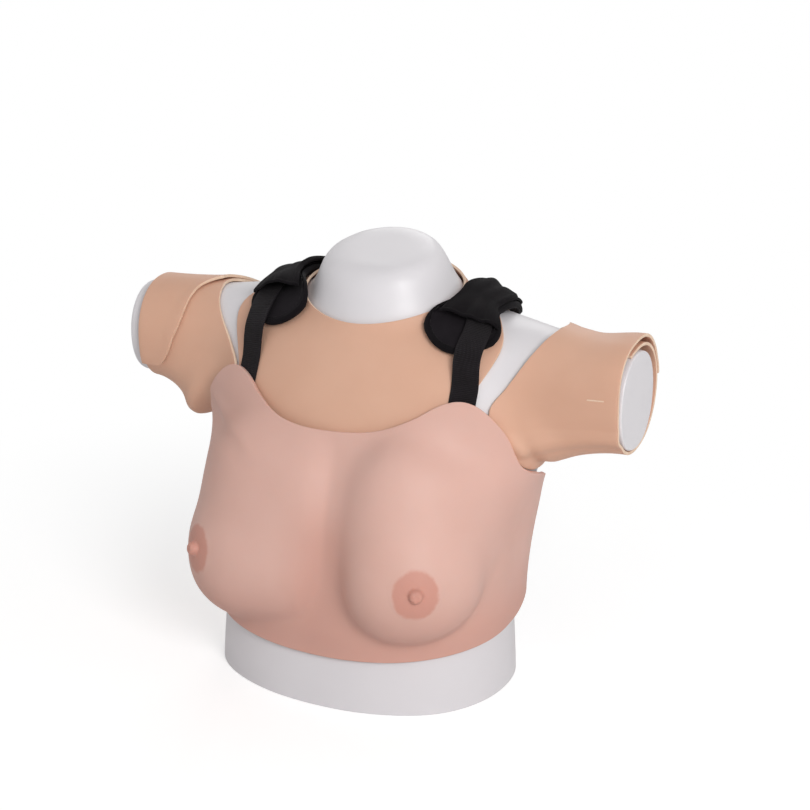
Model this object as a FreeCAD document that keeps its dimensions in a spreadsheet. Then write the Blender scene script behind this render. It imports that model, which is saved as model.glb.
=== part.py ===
import FreeCAD, Part
import math
import os
import Sketcher
from FreeCAD import Matrix, Placement, Rotation, Vector

# Breast examination trainer: a white display torso that wears a tan chest bib, two tan sleeves
# and a one-piece breast skin over two inserts with lumps, hung from two padded shoulder straps.
# Millimetres. The origin is the middle of the flat base, +Z is up and the chest faces -Y.

os.makedirs("parts", exist_ok=True)

# Driving sizes: name, value, meaning
SIZES = [
    ("base_half_width", 136, "torso: half width at the flat base"),
    ("base_half_depth", 108, "torso: half depth at the flat base"),
    ("base_middle_y", -4, "torso: middle of the section at the base"),
    ("waist_level", 80, "torso: height of the waist section"),
    ("waist_half_width", 131, "torso: half width at the waist"),
    ("waist_half_depth", 105, "torso: half depth at the waist"),
    ("waist_middle_y", -1, "torso: middle of the section at the waist"),
    ("rib_level", 150, "torso: height of the rib section"),
    ("rib_half_width", 135, "torso: half width at the ribs"),
    ("rib_half_depth", 107, "torso: half depth at the ribs"),
    ("rib_middle_y", 8, "torso: middle of the section at the ribs"),
    ("chest_level", 230, "torso: height of the chest section"),
    ("chest_half_width", 151.5, "torso: half width at the chest"),
    ("chest_half_depth", 100, "torso: half depth at the chest"),
    ("chest_middle_y", 22, "torso: middle of the section at the chest"),
    ("collar_level", 320, "torso: height of the collar section"),
    ("collar_half_width", 138, "torso: half width at the collar"),
    ("collar_half_depth", 86, "torso: half depth at the collar"),
    ("collar_middle_y", 36, "torso: middle of the section at the collar"),
    ("shoulder_level", 276, "arm stumps: height of their axis"),
    ("shoulder_y", 40, "arm stumps: axis in the middle of the body"),
    ("arm_reach", 241, "arm stumps: from the middle to the cut end"),
    ("arm_end_y", 18, "arm stumps: axis at the cut end"),
    ("arm_end_rise", 3.5, "arm stumps: how much the axis rises to the cut end"),
    ("arm_root_half_height", 59, "arm stumps: half height inside the chest"),
    ("arm_root_half_depth", 64, "arm stumps: half depth inside the chest"),
    ("arm_joint_x", 150, "arm stumps: where the arm leaves the chest"),
    ("arm_joint_half_height", 50, "arm stumps: half height where it leaves"),
    ("arm_joint_half_depth", 44, "arm stumps: half depth where it leaves"),
    ("arm_end_half_height", 42.5, "arm stumps: half height at the cut end"),
    ("arm_end_half_depth", 37, "arm stumps: half depth at the cut end"),
    ("neck_half_width", 60, "neck stump: half width at its root"),
    ("neck_half_depth", 59, "neck stump: half depth at its root"),
    ("neck_root_y", 46, "neck stump: axis at its root"),
    ("neck_root_level", 290, "neck stump: height of its root"),
    ("neck_length", 93, "neck stump: root to top face along its axis"),
    ("neck_lean", 16, "neck stump: forward lean in degrees"),
    ("arm_end_rounding", 5, "rounding of the cut arm ends"),
    ("layer_gap", 0.6, "air between soft layers that lie on each other"),
    ("bib_thickness", 2.4, "chest bib: sheet thickness"),
    ("bib_neck_standoff", 2.2, "chest bib: how far the collar edge stands off the neck"),
    ("sleeve_thickness", 2.8, "sleeves: sheet thickness"),
    ("sleeve_flare", 10, "sleeves: how far the rear of the open left end stands off the arm"),
    ("sleeve_left_sag", 3, "left sleeve: how far it hangs off the arm by the armpit"),
    ("sleeve_right_sag", 22, "right sleeve: how far it hangs off the arm by the armpit"),
    ("sleeve_gape", 4, "left sleeve: how far the lap stands open at the top of its end"),
    ("sleeve_right_inset", 17, "right sleeve: open end behind the cut arm end"),
    ("sleeve_left_inset", 2, "left sleeve: open end behind the cut arm end"),
    ("skin_thickness", 4.2, "breast skin: wall"),
    ("skin_bottom_level", 49, "breast skin: lower edge at the front"),
    ("skin_neckline_drop", 31, "breast skin: upper edge at the front, below the shoulder level"),
    ("skin_lobe_rise", 1, "breast skin: top of the strap lobes, above the shoulder level"),
    ("skin_side_drop", 78, "breast skin: upper edge under the arms, below the shoulder level"),
    ("skin_wing_angle", 114, "breast skin: rear edge, degrees round from the front"),
    ("breast_spacing_x", 77, "breasts: middle of each from the centre line"),
    ("breast_middle_y", -77, "breasts: middle of the lower form"),
    ("breast_level", 120, "breasts: height of the lower form"),
    ("breast_half_width", 62, "breasts: half width of the lower form"),
    ("breast_half_depth", 57, "breasts: half depth of the lower form"),
    ("breast_half_height", 54, "breasts: half height of the lower form"),
    ("breast_outward_turn", 33, "breasts: turn of the form away from the centre line, degrees"),
    ("breast_right_droop", 8, "breasts: how much lower the right one hangs"),
    ("breast_slope_level", 166, "breasts: height of the upper slope"),
    ("breast_slope_half_height", 82, "breasts: half height of the upper slope"),
    ("nipple_radius", 6.5, "nipples: radius"),
    ("nipple_height", 7, "nipples: height over the skin"),
    ("small_lump_radius", 5, "lumps: small round one"),
    ("medium_lump_radius", 7.5, "lumps: medium round one"),
    ("large_lump_radius", 10, "lumps: large oval one, long half axis"),
    ("large_lump_half_height", 6, "lumps: large oval one, short half axes"),
    ("flat_lump_radius", 9, "lumps: flat one"),
    ("flat_lump_half_height", 4.5, "lumps: half height of the flat one"),
    ("node_radius", 4, "axillary lymph nodes: radius"),
    ("pocket_clearance", 0.3, "air round a lump in its pocket"),
    ("pad_thickness", 6, "shoulder pads: thickness"),
    ("pad_half_width", 37, "shoulder pads: half width at the front disc"),
    ("pad_rear_half_width", 24, "shoulder pads: half width at the rear disc"),
    ("pad_waist_half_width", 18, "shoulder pads: half width over the shoulder"),
    ("pad_front_angle", 54, "shoulder pads: front end, degrees from the top of the shoulder"),
    ("pad_rear_angle", 58, "shoulder pads: rear end, degrees from the top of the shoulder"),
    ("cover_thickness", 2.2, "pad covers: thickness"),
    ("cover_front_angle", 33, "pad covers: front lip, degrees from the top of the shoulder"),
    ("cover_rear_angle", 40, "pad covers: rear lip, degrees from the top of the shoulder"),
    ("cover_arch_left", 1.5, "left pad cover: how far its front lip arches off the strap"),
    ("cover_arch_right", 7, "right pad cover: how far its front lip arches off the strap"),
    ("harness_shift", 6, "pads and straps: how far they are worn towards the left"),
    ("strap_width", 23, "shoulder straps: webbing width"),
    ("strap_thickness", 1.6, "shoulder straps: webbing thickness"),
    ("pad_front_x", 86.5, "shoulder pads: middle of the front disc"),
    ("strap_front_x", 102.5, "shoulder straps: foot in the lobe"),
    ("strap_top_x", 95, "shoulder straps: over the top of the shoulder"),
    ("strap_rear_x", 60, "shoulder straps: at the ring on the back"),
    ("strap_foot_drop", 18, "shoulder straps: foot behind the lobe, below the shoulder level"),
    ("strap_free_drop", 14, "shoulder straps: start of the straight rear stretch, below the shoulder level"),
    ("ring_level", 158, "back rings: height"),
    ("ring_standoff", 8.5, "back rings: middle plane above the back"),
    ("ring_opening_height", 9, "back rings: opening along the strap"),
    ("ring_bar", 3, "back rings: width of the bars"),
    ("ring_thickness", 2.4, "back rings: thickness"),
    ("ring_edge_radius", 1, "back rings: rounding of the bars"),
    ("tail_length", 88, "shoulder straps: free tail above the ring"),
    ("slide_clearance", 0.4, "air between webbing and moulded parts"),
    ("slide_wall", 1.5, "strap slides: outer walls"),
    ("slide_length", 13, "strap slides: length along the strap"),
    ("slide_height", 48, "strap slides: rest place above the ring"),
    ("belt_thickness", 2, "back belt: elastic thickness"),
    ("belt_height", 38, "back belt: height of the band"),
    ("belt_level", 100, "back belt: lower edge"),
    ("belt_start_angle", 100, "back belt: start under the skin wing, degrees round"),
    ("belt_overlap_x", 34, "back belt: half length of the lap at the middle of the back"),
    ("patch_thickness", 1.2, "back belt: hook and loop patches"),
]

doc = FreeCAD.newDocument("breast_examination_trainer")
sheet = doc.addObject("Spreadsheet::Sheet", "Sizes")
for row, (alias, value, meaning) in enumerate(SIZES, start=1):
    sheet.set("A%d" % row, meaning)
    sheet.set("B%d" % row, str(value))
    sheet.setAlias("B%d" % row, alias)
doc.recompute()
size = {alias: float(sheet.get(alias)) for alias, _, _ in SIZES}

# Shape constants of the form that are not lengths someone would set by themselves
TRUNK_SQUARENESS = 2.3
ARM_SQUARENESS = 2.15
TORSO_SPANS_ALONG = 60
TORSO_SPANS_ROUND = 44
TORSO_CROWD_NECK = 0.3
TORSO_CROWD_ENDS = 0.4
TORSO_RAY_DROP = 50


# Curves and distances

def profile(knots):
    """Smooth curve through (place, value) pairs, flat beyond its ends."""
    places = [k[0] for k in knots]
    values = [k[1] for k in knots]
    count = len(knots)
    slopes = [0.0] * count
    for i in range(1, count - 1):
        slopes[i] = (values[i + 1] - values[i - 1]) / (places[i + 1] - places[i - 1])

    def at(place):
        if place <= places[0]:
            return values[0]
        if place >= places[-1]:
            return values[-1]
        i = 0
        while place > places[i + 1]:
            i += 1
        span = places[i + 1] - places[i]
        u = (place - places[i]) / span
        uu = u * u
        uuu = uu * u
        return ((2 * uuu - 3 * uu + 1) * values[i] + (uuu - 2 * uu + u) * span * slopes[i]
                + (3 * uu - 2 * uuu) * values[i + 1] + (uuu - uu) * span * slopes[i + 1])
    return at


def step(low, high, value):
    """Smooth step from 0 at low to 1 at high."""
    u = min(max((value - low) / (high - low), 0.0), 1.0)
    return u * u * (3 - 2 * u)


def joined(a, b, k):
    """Distance to two bodies joined with a fillet about k wide."""
    h = max(k - abs(a - b), 0.0) / k
    return min(a, b) - h * h * h * k / 6


def trimmed(a, b, k):
    """Distance to what two bodies share, with a rounding about k wide."""
    return -joined(-a, -b, k)


def oval(a, b, half_a, half_b, squareness):
    """Distance to a rounded oval section."""
    q = (abs(a / half_a) ** squareness + abs(b / half_b) ** squareness) ** (1 / squareness)
    if q < 1e-6:
        return -min(half_a, half_b)
    return math.hypot(a, b) * (1 - 1 / q)


def egg(x, y, z, half_x, half_y, half_z):
    """Distance to an ellipsoid about the origin."""
    k0 = math.sqrt((x / half_x) ** 2 + (y / half_y) ** 2 + (z / half_z) ** 2)
    k1 = math.sqrt((x / half_x ** 2) ** 2 + (y / half_y ** 2) ** 2 + (z / half_z ** 2) ** 2)
    if k1 < 1e-9:
        return -min(half_x, half_y, half_z)
    return k0 * (k0 - 1) / k1


# The body: trunk, arm stumps and neck stump as one smooth form

SECTIONS = ["base", "waist", "rib", "chest", "collar"]
section_levels = [0.0] + [size[name + "_level"] for name in SECTIONS[1:]]
trunk_width = profile([(z, size[n + "_half_width"]) for z, n in zip(section_levels, SECTIONS)])
trunk_depth = profile([(z, size[n + "_half_depth"]) for z, n in zip(section_levels, SECTIONS)])
trunk_middle = profile([(z, size[n + "_middle_y"]) for z, n in zip(section_levels, SECTIONS)])

arm_height = profile([(0, size["arm_root_half_height"]),
                      (size["arm_joint_x"], size["arm_joint_half_height"]),
                      (size["arm_reach"], size["arm_end_half_height"])])
arm_depth = profile([(0, size["arm_root_half_depth"]),
                     (size["arm_joint_x"], size["arm_joint_half_depth"]),
                     (size["arm_reach"], size["arm_end_half_depth"])])
arm_middle = profile([(0, size["shoulder_y"]),
                      (size["arm_joint_x"], size["shoulder_y"] - 10),
                      (size["arm_reach"], size["arm_end_y"])])
arm_level = profile([(0, size["shoulder_level"]), (size["arm_joint_x"], size["shoulder_level"]),
                     (size["arm_reach"], size["shoulder_level"] + size["arm_end_rise"])])

neck_lean_sin = math.sin(math.radians(size["neck_lean"]))
neck_lean_cos = math.cos(math.radians(size["neck_lean"]))
NECK_TAPER = 0.0013
TRUNK_TOP_ROUNDING = 75
ARM_FILLET = 50
ARM_END_SKIM = 0.6
NECK_FILLET = 75
NECK_RIM_ROUNDING = 28
NECK_ROOT_DEPTH = 30
TRUNK_TOP_BELOW_COLLAR = 6
COLLAR_FADE = (2, 24)
BELOW_BASE = 70
BELOW_BASE_ROUNDING = 40


def trunk_distance(x, y, z):
    wall = oval(x, y - trunk_middle(z), trunk_width(z), trunk_depth(z), TRUNK_SQUARENESS)
    top = z - (size["collar_level"] - TRUNK_TOP_BELOW_COLLAR)
    return trimmed(wall, top, TRUNK_TOP_ROUNDING)


def arm_distance(x, y, z):
    out = abs(x)
    return oval(y - arm_middle(out), z - arm_level(out),
                arm_depth(out), arm_height(out), ARM_SQUARENESS)


def neck_distance(x, y, z):
    dy = y - size["neck_root_y"]
    dz = z - size["neck_root_level"]
    along = dz * neck_lean_cos - dy * neck_lean_sin
    across = dy * neck_lean_cos + dz * neck_lean_sin
    taper = 1 - NECK_TAPER * min(max(along, -50.0), 150.0)
    wall = oval(x, across, size["neck_half_width"] * taper, size["neck_half_depth"] * taper, 2)
    wall = trimmed(wall, -along - NECK_ROOT_DEPTH, NECK_FILLET)
    return trimmed(wall, along - size["neck_length"], NECK_RIM_ROUNDING)


def trunk_and_arms(x, y, z):
    return joined(trunk_distance(x, y, z), arm_distance(x, y, z), ARM_FILLET)


def body_distance(x, y, z):
    return joined(trunk_and_arms(x, y, z), neck_distance(x, y, z), NECK_FILLET)


def dressed_distance(x, y, z):
    """The body as worn layers feel it: the bib collar stands a little off the neck."""
    near_neck = 1 - step(*COLLAR_FADE, neck_distance(x, y, z))
    return body_distance(x, y, z) - size["bib_neck_standoff"] * near_neck


def closed_body_distance(x, y, z):
    """The body with rounded arm ends, and an end below the base where it is then cut flat."""
    arms_cut = trimmed(body_distance(x, y, z), abs(x) - size["arm_reach"] - ARM_END_SKIM,
                       size["arm_end_rounding"])
    return trimmed(arms_cut, -z - BELOW_BASE, BELOW_BASE_ROUNDING)


# The breast skin: the body with two drooping breasts on the chest

turn = math.radians(size["breast_outward_turn"])
turn_cos = math.cos(turn)
turn_sin = math.sin(turn)
BREAST_SLOPE_SHARE_WIDTH = 0.93
BREAST_SLOPE_SHARE_DEPTH = 0.90
BREAST_SLOPE_BACK = 14
BREAST_BLEND = 45
BREAST_ROOT_FILLET = 20
DROOP_BELOW = (85, 150)
DROOP_ACROSS = (-25, 25)


def breast_distance(x, y, z):
    lower = (1 - step(*DROOP_ACROSS, x)) * (1 - step(*DROOP_BELOW, z))
    z = z + size["breast_right_droop"] * lower
    dx = abs(x) - size["breast_spacing_x"]
    dy = y - size["breast_middle_y"]
    across = dx * turn_cos + dy * turn_sin
    ahead = dy * turn_cos - dx * turn_sin
    low = egg(across, ahead, z - size["breast_level"],
              size["breast_half_width"], size["breast_half_depth"], size["breast_half_height"])
    slope = egg(across, ahead - BREAST_SLOPE_BACK, z - size["breast_slope_level"],
                size["breast_half_width"] * BREAST_SLOPE_SHARE_WIDTH,
                size["breast_half_depth"] * BREAST_SLOPE_SHARE_DEPTH,
                size["breast_slope_half_height"])
    return joined(low, slope, BREAST_BLEND)


lower_layer = size["layer_gap"] + size["bib_thickness"]
skin_rest = lower_layer + size["layer_gap"]
strap_lift = size["strap_thickness"] + size["layer_gap"]
neckline = size["shoulder_level"] - size["skin_neckline_drop"]
lobe_top = size["shoulder_level"] + size["skin_lobe_rise"]
side_top = size["shoulder_level"] - size["skin_side_drop"]
strap_foot = size["shoulder_level"] - size["strap_foot_drop"]
strap_free = size["shoulder_level"] - size["strap_free_drop"]
WING_LIFT = 5
WING_FROM_Y = (0, 70)
WING_UP_TO = (150, 200)
SKIN_HEM_STANDOFF = 1.2
SKIN_HEM_ZONE = (2, 26)


def skin_standoff(x, y, z):
    """Height of the inside of the breast skin over the torso."""
    lobe = step(neckline - 15, lobe_top - 18, z)
    wing = step(*WING_FROM_Y, y) * (1 - step(*WING_UP_TO, z))
    hem = (1 - step(*SKIN_HEM_ZONE, z - size["skin_bottom_level"])) * (1 - wing)
    rest = skin_rest + strap_lift * lobe + WING_LIFT * wing
    return rest + (SKIN_HEM_STANDOFF - skin_rest) * hem


def skin_inside(x, y, z):
    return joined(dressed_distance(x, y, z) - skin_standoff(x, y, z),
                  breast_distance(x, y, z) + size["skin_thickness"], BREAST_ROOT_FILLET)


def skin_outside(x, y, z):
    return skin_inside(x, y, z) - size["skin_thickness"]


# Points where a ray from inside the body meets a form

FAR = 420
HALVINGS = 11
ARM_RAY_POWER = 2.2
ARM_RAY_FAN = 55
SLICE_START_BELOW_SHOULDER = 14


def meet(distance, start, ray, level, far):
    """Point on the ray from start where distance equals level."""
    sx, sy, sz = start
    rx, ry, rz = ray
    near = 0.0
    for _ in range(HALVINGS):
        middle = (near + far) / 2
        if distance(sx + rx * middle, sy + ry * middle, sz + rz * middle) < level:
            near = middle
        else:
            far = middle
    at_near = distance(sx + rx * near, sy + ry * near, sz + rz * near) - level
    at_far = distance(sx + rx * far, sy + ry * far, sz + rz * far) - level
    if at_far == at_near:
        place = near
    else:
        place = near - at_near * (far - near) / (at_far - at_near)
    return Vector(sx + rx * place, sy + ry * place, sz + rz * place)


def arm_ray(along, round_angle, drop=0):
    """Ray for the tube from arm end to arm end: along runs -1..1, the angle is 0 at the top
    and 90 degrees at the front. The rays fan out over the trunk and stand square at the ends.
    With a drop they start lower in the middle of the body."""
    out = abs(along)
    side = math.copysign(1.0, along)
    start_x = size["arm_reach"] * out ** ARM_RAY_POWER
    tilt = math.radians(ARM_RAY_FAN) * math.sin(math.pi * min(out, 1.0))
    start_z = arm_level(start_x) - drop * (1 - out) ** 2
    start = (side * start_x, arm_middle(start_x), start_z)
    a = math.radians(round_angle)
    ray = (side * math.sin(tilt), -math.cos(tilt) * math.sin(a), math.cos(tilt) * math.cos(a))
    return start, ray


def arm_point(distance, along, round_angle, level):
    start, ray = arm_ray(along, round_angle)
    return meet(distance, start, ray, level, FAR)


def level_point(distance, heading, z, level):
    """Point at height z, heading degrees round from the front."""
    a = math.radians(heading)
    start = (0.0, trunk_middle(z), z)
    return meet(distance, start, (math.sin(a), -math.cos(a), 0.0), level, FAR)


def slice_point(distance, x, angle, level):
    """Point in the upright slice at x, angle degrees from the top, forward positive."""
    a = math.radians(angle)
    start = (x, size["shoulder_y"], size["shoulder_level"] - SLICE_START_BELOW_SHOULDER)
    return meet(distance, start, (0.0, -math.sin(a), math.cos(a)), level, FAR)


def dome_point(distance, heading, from_top, level):
    """Point from the middle of the shoulders, heading round and from_top down, in degrees."""
    a = math.radians(heading)
    b = math.radians(from_top)
    start = (0.0, size["shoulder_y"], size["shoulder_level"])
    ray = (math.sin(b) * math.sin(a), -math.sin(b) * math.cos(a), math.cos(b))
    return meet(distance, start, ray, level, FAR)


def rounded(a, b, share):
    """Square coordinates pulled in towards an oval outline."""
    return a * math.sqrt(1 - share * b * b / 2), b * math.sqrt(1 - share * a * a / 2)


# Smooth faces through points of a form

def stations(spans, closed):
    """Where a smooth face with that many spans is sampled, as shares of its length."""
    if closed:
        return [i / spans for i in range(spans)]
    inner = [i / spans for i in range(1, spans)]
    return [0.0, 1 / (3 * spans)] + inner + [1 - 1 / (3 * spans), 1.0]


def sharpened(row, closed):
    """Control points whose smooth curve runs through the given row of points."""
    count = len(row)
    result = list(row)
    if closed:
        for i in range(count):
            bend = row[i - 1] - row[i] * 2 + row[(i + 1) % count]
            result[i] = row[i] - bend * (1 / 6)
        return result
    knots = [row[0]] + row[2:-2] + [row[-1]]
    for i in range(1, len(knots) - 1):
        bend = knots[i - 1] - knots[i] * 2 + knots[i + 1]
        result[i + 1] = row[i + 1] - bend * (1 / 6)
        if i == 1:
            result[1] = row[1] - bend * (1 / 18)
        if i == len(knots) - 2:
            result[-2] = row[-2] - bend * (1 / 18)
    return result


def smooth_surface(point_at, spans_u, spans_v, closed_v=False):
    """Smooth surface through point_at(u, v), u and v from 0 to 1."""
    spans_u = int(spans_u)
    spans_v = int(spans_v)
    rows = [[point_at(u, v) for v in stations(spans_v, closed_v)]
            for u in stations(spans_u, False)]
    rows = [sharpened(row, closed_v) for row in rows]
    columns = [sharpened([row[j] for row in rows], False) for j in range(len(rows[0]))]
    poles = [[columns[j][i] for j in range(len(columns))] for i in range(len(rows))]
    ends_u = [4] + [1] * (spans_u - 1) + [4]
    ends_v = [1] * (spans_v + 1) if closed_v else [4] + [1] * (spans_v - 1) + [4]
    surface = Part.BSplineSurface()
    surface.buildFromPolesMultsKnots(poles, ends_u, ends_v,
                                     [float(i) for i in range(spans_u + 1)],
                                     [float(i) for i in range(spans_v + 1)],
                                     False, closed_v, 3, 3)
    return surface


def solid_from(faces):
    """Closed solid from faces that share their edges."""
    shell = Part.makeShell(faces)
    shell.sewShape()
    solid = Part.makeSolid(shell)
    if solid.Volume < 0:
        solid.reverse()
    return solid


def wall(one, other):
    """Wall between two edges whose control points go in pairs."""
    surface = Part.BSplineSurface()
    knots = one.getKnots()
    surface.buildFromPolesMultsKnots([one.getPoles(), other.getPoles()],
                                     [2, 2], one.getMultiplicities(), [0.0, 1.0], knots,
                                     False, one.isPeriodic(), 1, 3)
    return surface.toShape()


def layer_faces(outer_at, inner_at, spans_u, spans_v, closed_v=False):
    """Faces of a sheet between two smooth surfaces, with straight walls at its rims."""
    outer = smooth_surface(outer_at, spans_u, spans_v, closed_v)
    inner = smooth_surface(inner_at, spans_u, spans_v, closed_v)
    faces = [outer.toShape(), inner.toShape()]
    for last in (0.0, float(spans_u)):
        faces.append(wall(outer.uIso(last), inner.uIso(last)))
    if not closed_v:
        for last in (0.0, float(spans_v)):
            faces.append(wall(outer.vIso(last), inner.vIso(last)))
    return faces


def layer(outer_at, inner_at, spans_u, spans_v, closed_v=False):
    return solid_from(layer_faces(outer_at, inner_at, spans_u, spans_v, closed_v))


def add_shape(name, shape, placement=None):
    """Document object for a free form, placed after its shape is set."""
    item = doc.addObject("Part::Feature", name)
    item.Label = name
    item.Shape = shape
    if placement is not None:
        item.Placement = placement
    sub_parts.append(item)
    return item


sub_parts = []
SIDES = [("left", 1), ("right", -1)]


# Display torso

def display_torso():
    def at(u, v):
        across = 2 * u - 1
        crowded = across - TORSO_CROWD_NECK * across * (1 - across * across)
        along = math.sin(math.radians(90 * crowded))
        crowd = TORSO_CROWD_ENDS * math.degrees(math.sin(4 * math.pi * v)) / 2
        start, ray = arm_ray(along, 360 * v + 180 - crowd, TORSO_RAY_DROP)
        return meet(closed_body_distance, start, ray, 0, FAR)

    tube = smooth_surface(at, TORSO_SPANS_ALONG, TORSO_SPANS_ROUND, True)
    faces = [tube.toShape()]
    for last in tube.bounds()[:2]:
        faces.append(Part.Face(Part.Wire(tube.uIso(last).toShape())))
    form = solid_from(faces)
    end = size["arm_reach"]
    block = Part.makeBox(4 * end, 4 * end, 4 * end, Vector(-2 * end, -2 * end, 0))
    add_shape("display_torso", form.common(block).Solids[0])


# Chest bib: a collar and yoke that lies over the shoulders under the pads

bib_neck_edge = profile([(0, 56), (50, 51), (90, 43), (140, 34), (180, 32)])
bib_outer_edge = profile([(0, 118), (30, 113), (52, 90), (66, 73), (80, 64), (92, 60),
                          (112, 64), (140, 87), (180, 104)])
BIB_EDGE_LIFT = 0.25


def chest_bib():
    def at(u, v, lift):
        heading = 360 * v
        fold = heading if heading <= 180 else 360 - heading
        inner = bib_neck_edge(fold)
        from_top = inner + (bib_outer_edge(fold) - inner) * u
        level = size["layer_gap"] + BIB_EDGE_LIFT * step(0.3, 1.0, u)
        return dome_point(dressed_distance, heading, from_top, level + lift)

    sheet_shape = layer(lambda u, v: at(u, v, size["bib_thickness"]),
                        lambda u, v: at(u, v, 0), 10, 40, True)
    add_shape("chest_bib", sheet_shape)


# Sleeves: each is one strip wrapped round the arm stump, its outer end lapped over its start

# Round angle and share of the arm ray for the chest edge of a sleeve
sleeve_inner_edge = profile([(0, 0.72), (36, 0.66), (60, 0.59), (80, 0.51), (100, 0.41),
                             (135, 0.44), (180, 0.49), (225, 0.47), (270, 0.44), (310, 0.58),
                             (360, 0.72)])
LEFT_SLEEVE_TOP_BACK = 0.025


def sleeve(name, side, start_angle, end_angle, flap_angle, inset, flare, sag, gape, chest_shift,
           top_shift):
    """Wrap from start_angle to end_angle at the chest and on to flap_angle at the open end."""
    opened = flap_angle - end_angle
    lap_edge = profile([(0, end_angle), (0.3, end_angle + opened * 0.25),
                        (0.7, end_angle + opened * 0.75), (0.88, flap_angle), (1, flap_angle)])
    outer_end = (1 - inset / size["arm_reach"]) ** (1 / ARM_RAY_POWER)
    lap_lift = size["sleeve_thickness"] + size["layer_gap"]

    def at(u, v, lift):
        angle = start_angle + (lap_edge(v) - start_angle) * u
        front = step(30, 90, angle % 360) * (1 - step(110, 150, angle % 360))
        upper = 1 - step(20, 60, min(angle % 360, 360 - angle % 360))
        inner_end = sleeve_inner_edge(angle % 360) + chest_shift * front + top_shift * upper
        along = inner_end + (outer_end - inner_end) * v
        turned = abs(angle - start_angle)
        lapped = step(285, 350, turned)
        level = size["layer_gap"] + (lap_lift + gape * step(0.5, 1.0, v)) * lapped
        rearward = max(math.cos(math.radians(angle + 80)), 0) ** 1.5
        level += flare * step(0.5, 1.0, v) * rearward
        under = step(90, 160, angle % 360) * (1 - step(190, 260, angle % 360))
        level += sag * under * step(0.08, 0.5, v) * (1 - step(0.55, 1.0, v))
        return arm_point(body_distance, side * along, angle, level + lift)

    spans = 20 + 4 * int(abs(flap_angle - start_angle) > 400)
    shape = layer(lambda u, v: at(u, v, size["sleeve_thickness"]),
                  lambda u, v: at(u, v, 0), spans, 14)
    add_shape(name, shape)


# Breast skin: one piece with both breasts, strap lobes and side wings

lobe_angle = math.degrees(math.atan2(size["strap_front_x"] + 0.5,
                                     size["chest_half_depth"] - 28))
skin_top_edge = profile([(0, neckline), (21, neckline + 4), (38, lobe_top - 15),
                         (lobe_angle - 7, lobe_top - 3), (lobe_angle, lobe_top),
                         (lobe_angle + 6, lobe_top - 7), (lobe_angle + 13, lobe_top - 28),
                         (76, side_top + 20), (90, side_top + 2), (102, side_top - 9),
                         (size["skin_wing_angle"], side_top - 30)])
hem = size["skin_bottom_level"]
skin_hem_edge = profile([(0, hem), (35, hem + 2), (65, hem + 7), (95, hem + 12),
                         (size["skin_wing_angle"], hem + 24)])


def skin_face(distance, u, v):
    heading = size["skin_wing_angle"] * (2 * u - 1)
    low = skin_hem_edge(abs(heading))
    high = skin_top_edge(abs(heading))
    z = low + (high - low) * v
    return level_point(distance, heading, z, 0)


def nipple_place(side):
    """Point of the breast farthest along its outward direction, and that direction."""
    ahead = Vector(side * turn_sin, -turn_cos, 0.12)
    ahead.normalize()
    start = (side * size["breast_spacing_x"], size["breast_middle_y"], size["breast_level"] + 4)
    ray = (ahead.x, ahead.y, ahead.z)
    return meet(skin_outside, start, ray, 0, 120), ahead


def breast_skin():
    skin = layer(lambda u, v: skin_face(skin_outside, u, v),
                 lambda u, v: skin_face(skin_inside, u, v), 44, 26)
    for _, side in SIDES:
        tip, ahead = nipple_place(side)
        height = size["nipple_height"]
        nipple = Part.makeCylinder(size["nipple_radius"], height + 3, Vector(0, 0, -3))
        top = [e for e in nipple.Edges if e.BoundBox.ZMin > height - 0.01]
        nipple = nipple.makeFillet(size["nipple_radius"] * 0.6, top)
        nipple.Placement = Placement(tip, Rotation(Vector(0, 0, 1), ahead))
        skin = skin.fuse(nipple)
    add_shape("breast_skin", skin.Solids[0])


# Breast inserts: they fill the breasts and hold the lumps in pockets

INSERT_MIDDLE_HEADING = 43
INSERT_HALF_SPREAD = 31
INSERT_HALF_HEIGHT = 60
INSERT_MIDDLE_ABOVE_BREAST = 13


def insert_front(x, y, z):
    return skin_inside(x, y, z) + size["layer_gap"]


def insert_back(x, y, z):
    return body_distance(x, y, z) - size["layer_gap"]


def insert_face(distance, side, u, v):
    across, up = rounded(2 * u - 1, 2 * v - 1, 1)
    heading = INSERT_MIDDLE_HEADING + INSERT_HALF_SPREAD * across
    z = size["breast_level"] + INSERT_MIDDLE_ABOVE_BREAST + INSERT_HALF_HEIGHT * up
    return level_point(distance, side * heading, z, 0)


# A lump: kind, heading round the body, height over the middle of the breast,
# share of the depth of the insert, radii
LUMPS = [
    ("small_lump", 29, -18, 0.5, ["small_lump_radius"]),
    ("medium_lump", 58, -8, 0.50, ["medium_lump_radius"]),
    ("large_lump", 42, 10, 0.50,
     ["large_lump_half_height", "large_lump_radius", "large_lump_half_height"]),
    ("flat_lump", 34, 40, 0.45,
     ["flat_lump_half_height", "flat_lump_radius", "flat_lump_radius"]),
    ("upper_axillary_node", 52, 44, 0.5, ["node_radius"]),
    ("lower_axillary_node", 60, 26, 0.5, ["node_radius"]),
]


def place_in_insert(side, heading, above, share):
    z = size["breast_level"] + above
    back = level_point(insert_back, side * heading, z, 0)
    front = level_point(insert_front, side * heading, z, 0)
    return back + (front - back) * share, front - back


# Shoulder pads, their covers and the webbing straps between them

pad_level = lower_layer + size["layer_gap"]
pad_top = pad_level + size["pad_thickness"]
strap_level = pad_top + size["layer_gap"]
strap_top = strap_level + size["strap_thickness"]
cover_level = strap_top + size["layer_gap"]
STRAP_ASIDE = (5, 45)
SHIFT_STARTS = (5, 45)
PAD_OUTLINE_ROUNDING = 0.72
COVER_INSIDE_PAD = 0.8
COVER_TOWARDS_STRAP = 0.3
COVER_EDGE_ZONE = (0.85, 0.99)


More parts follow.
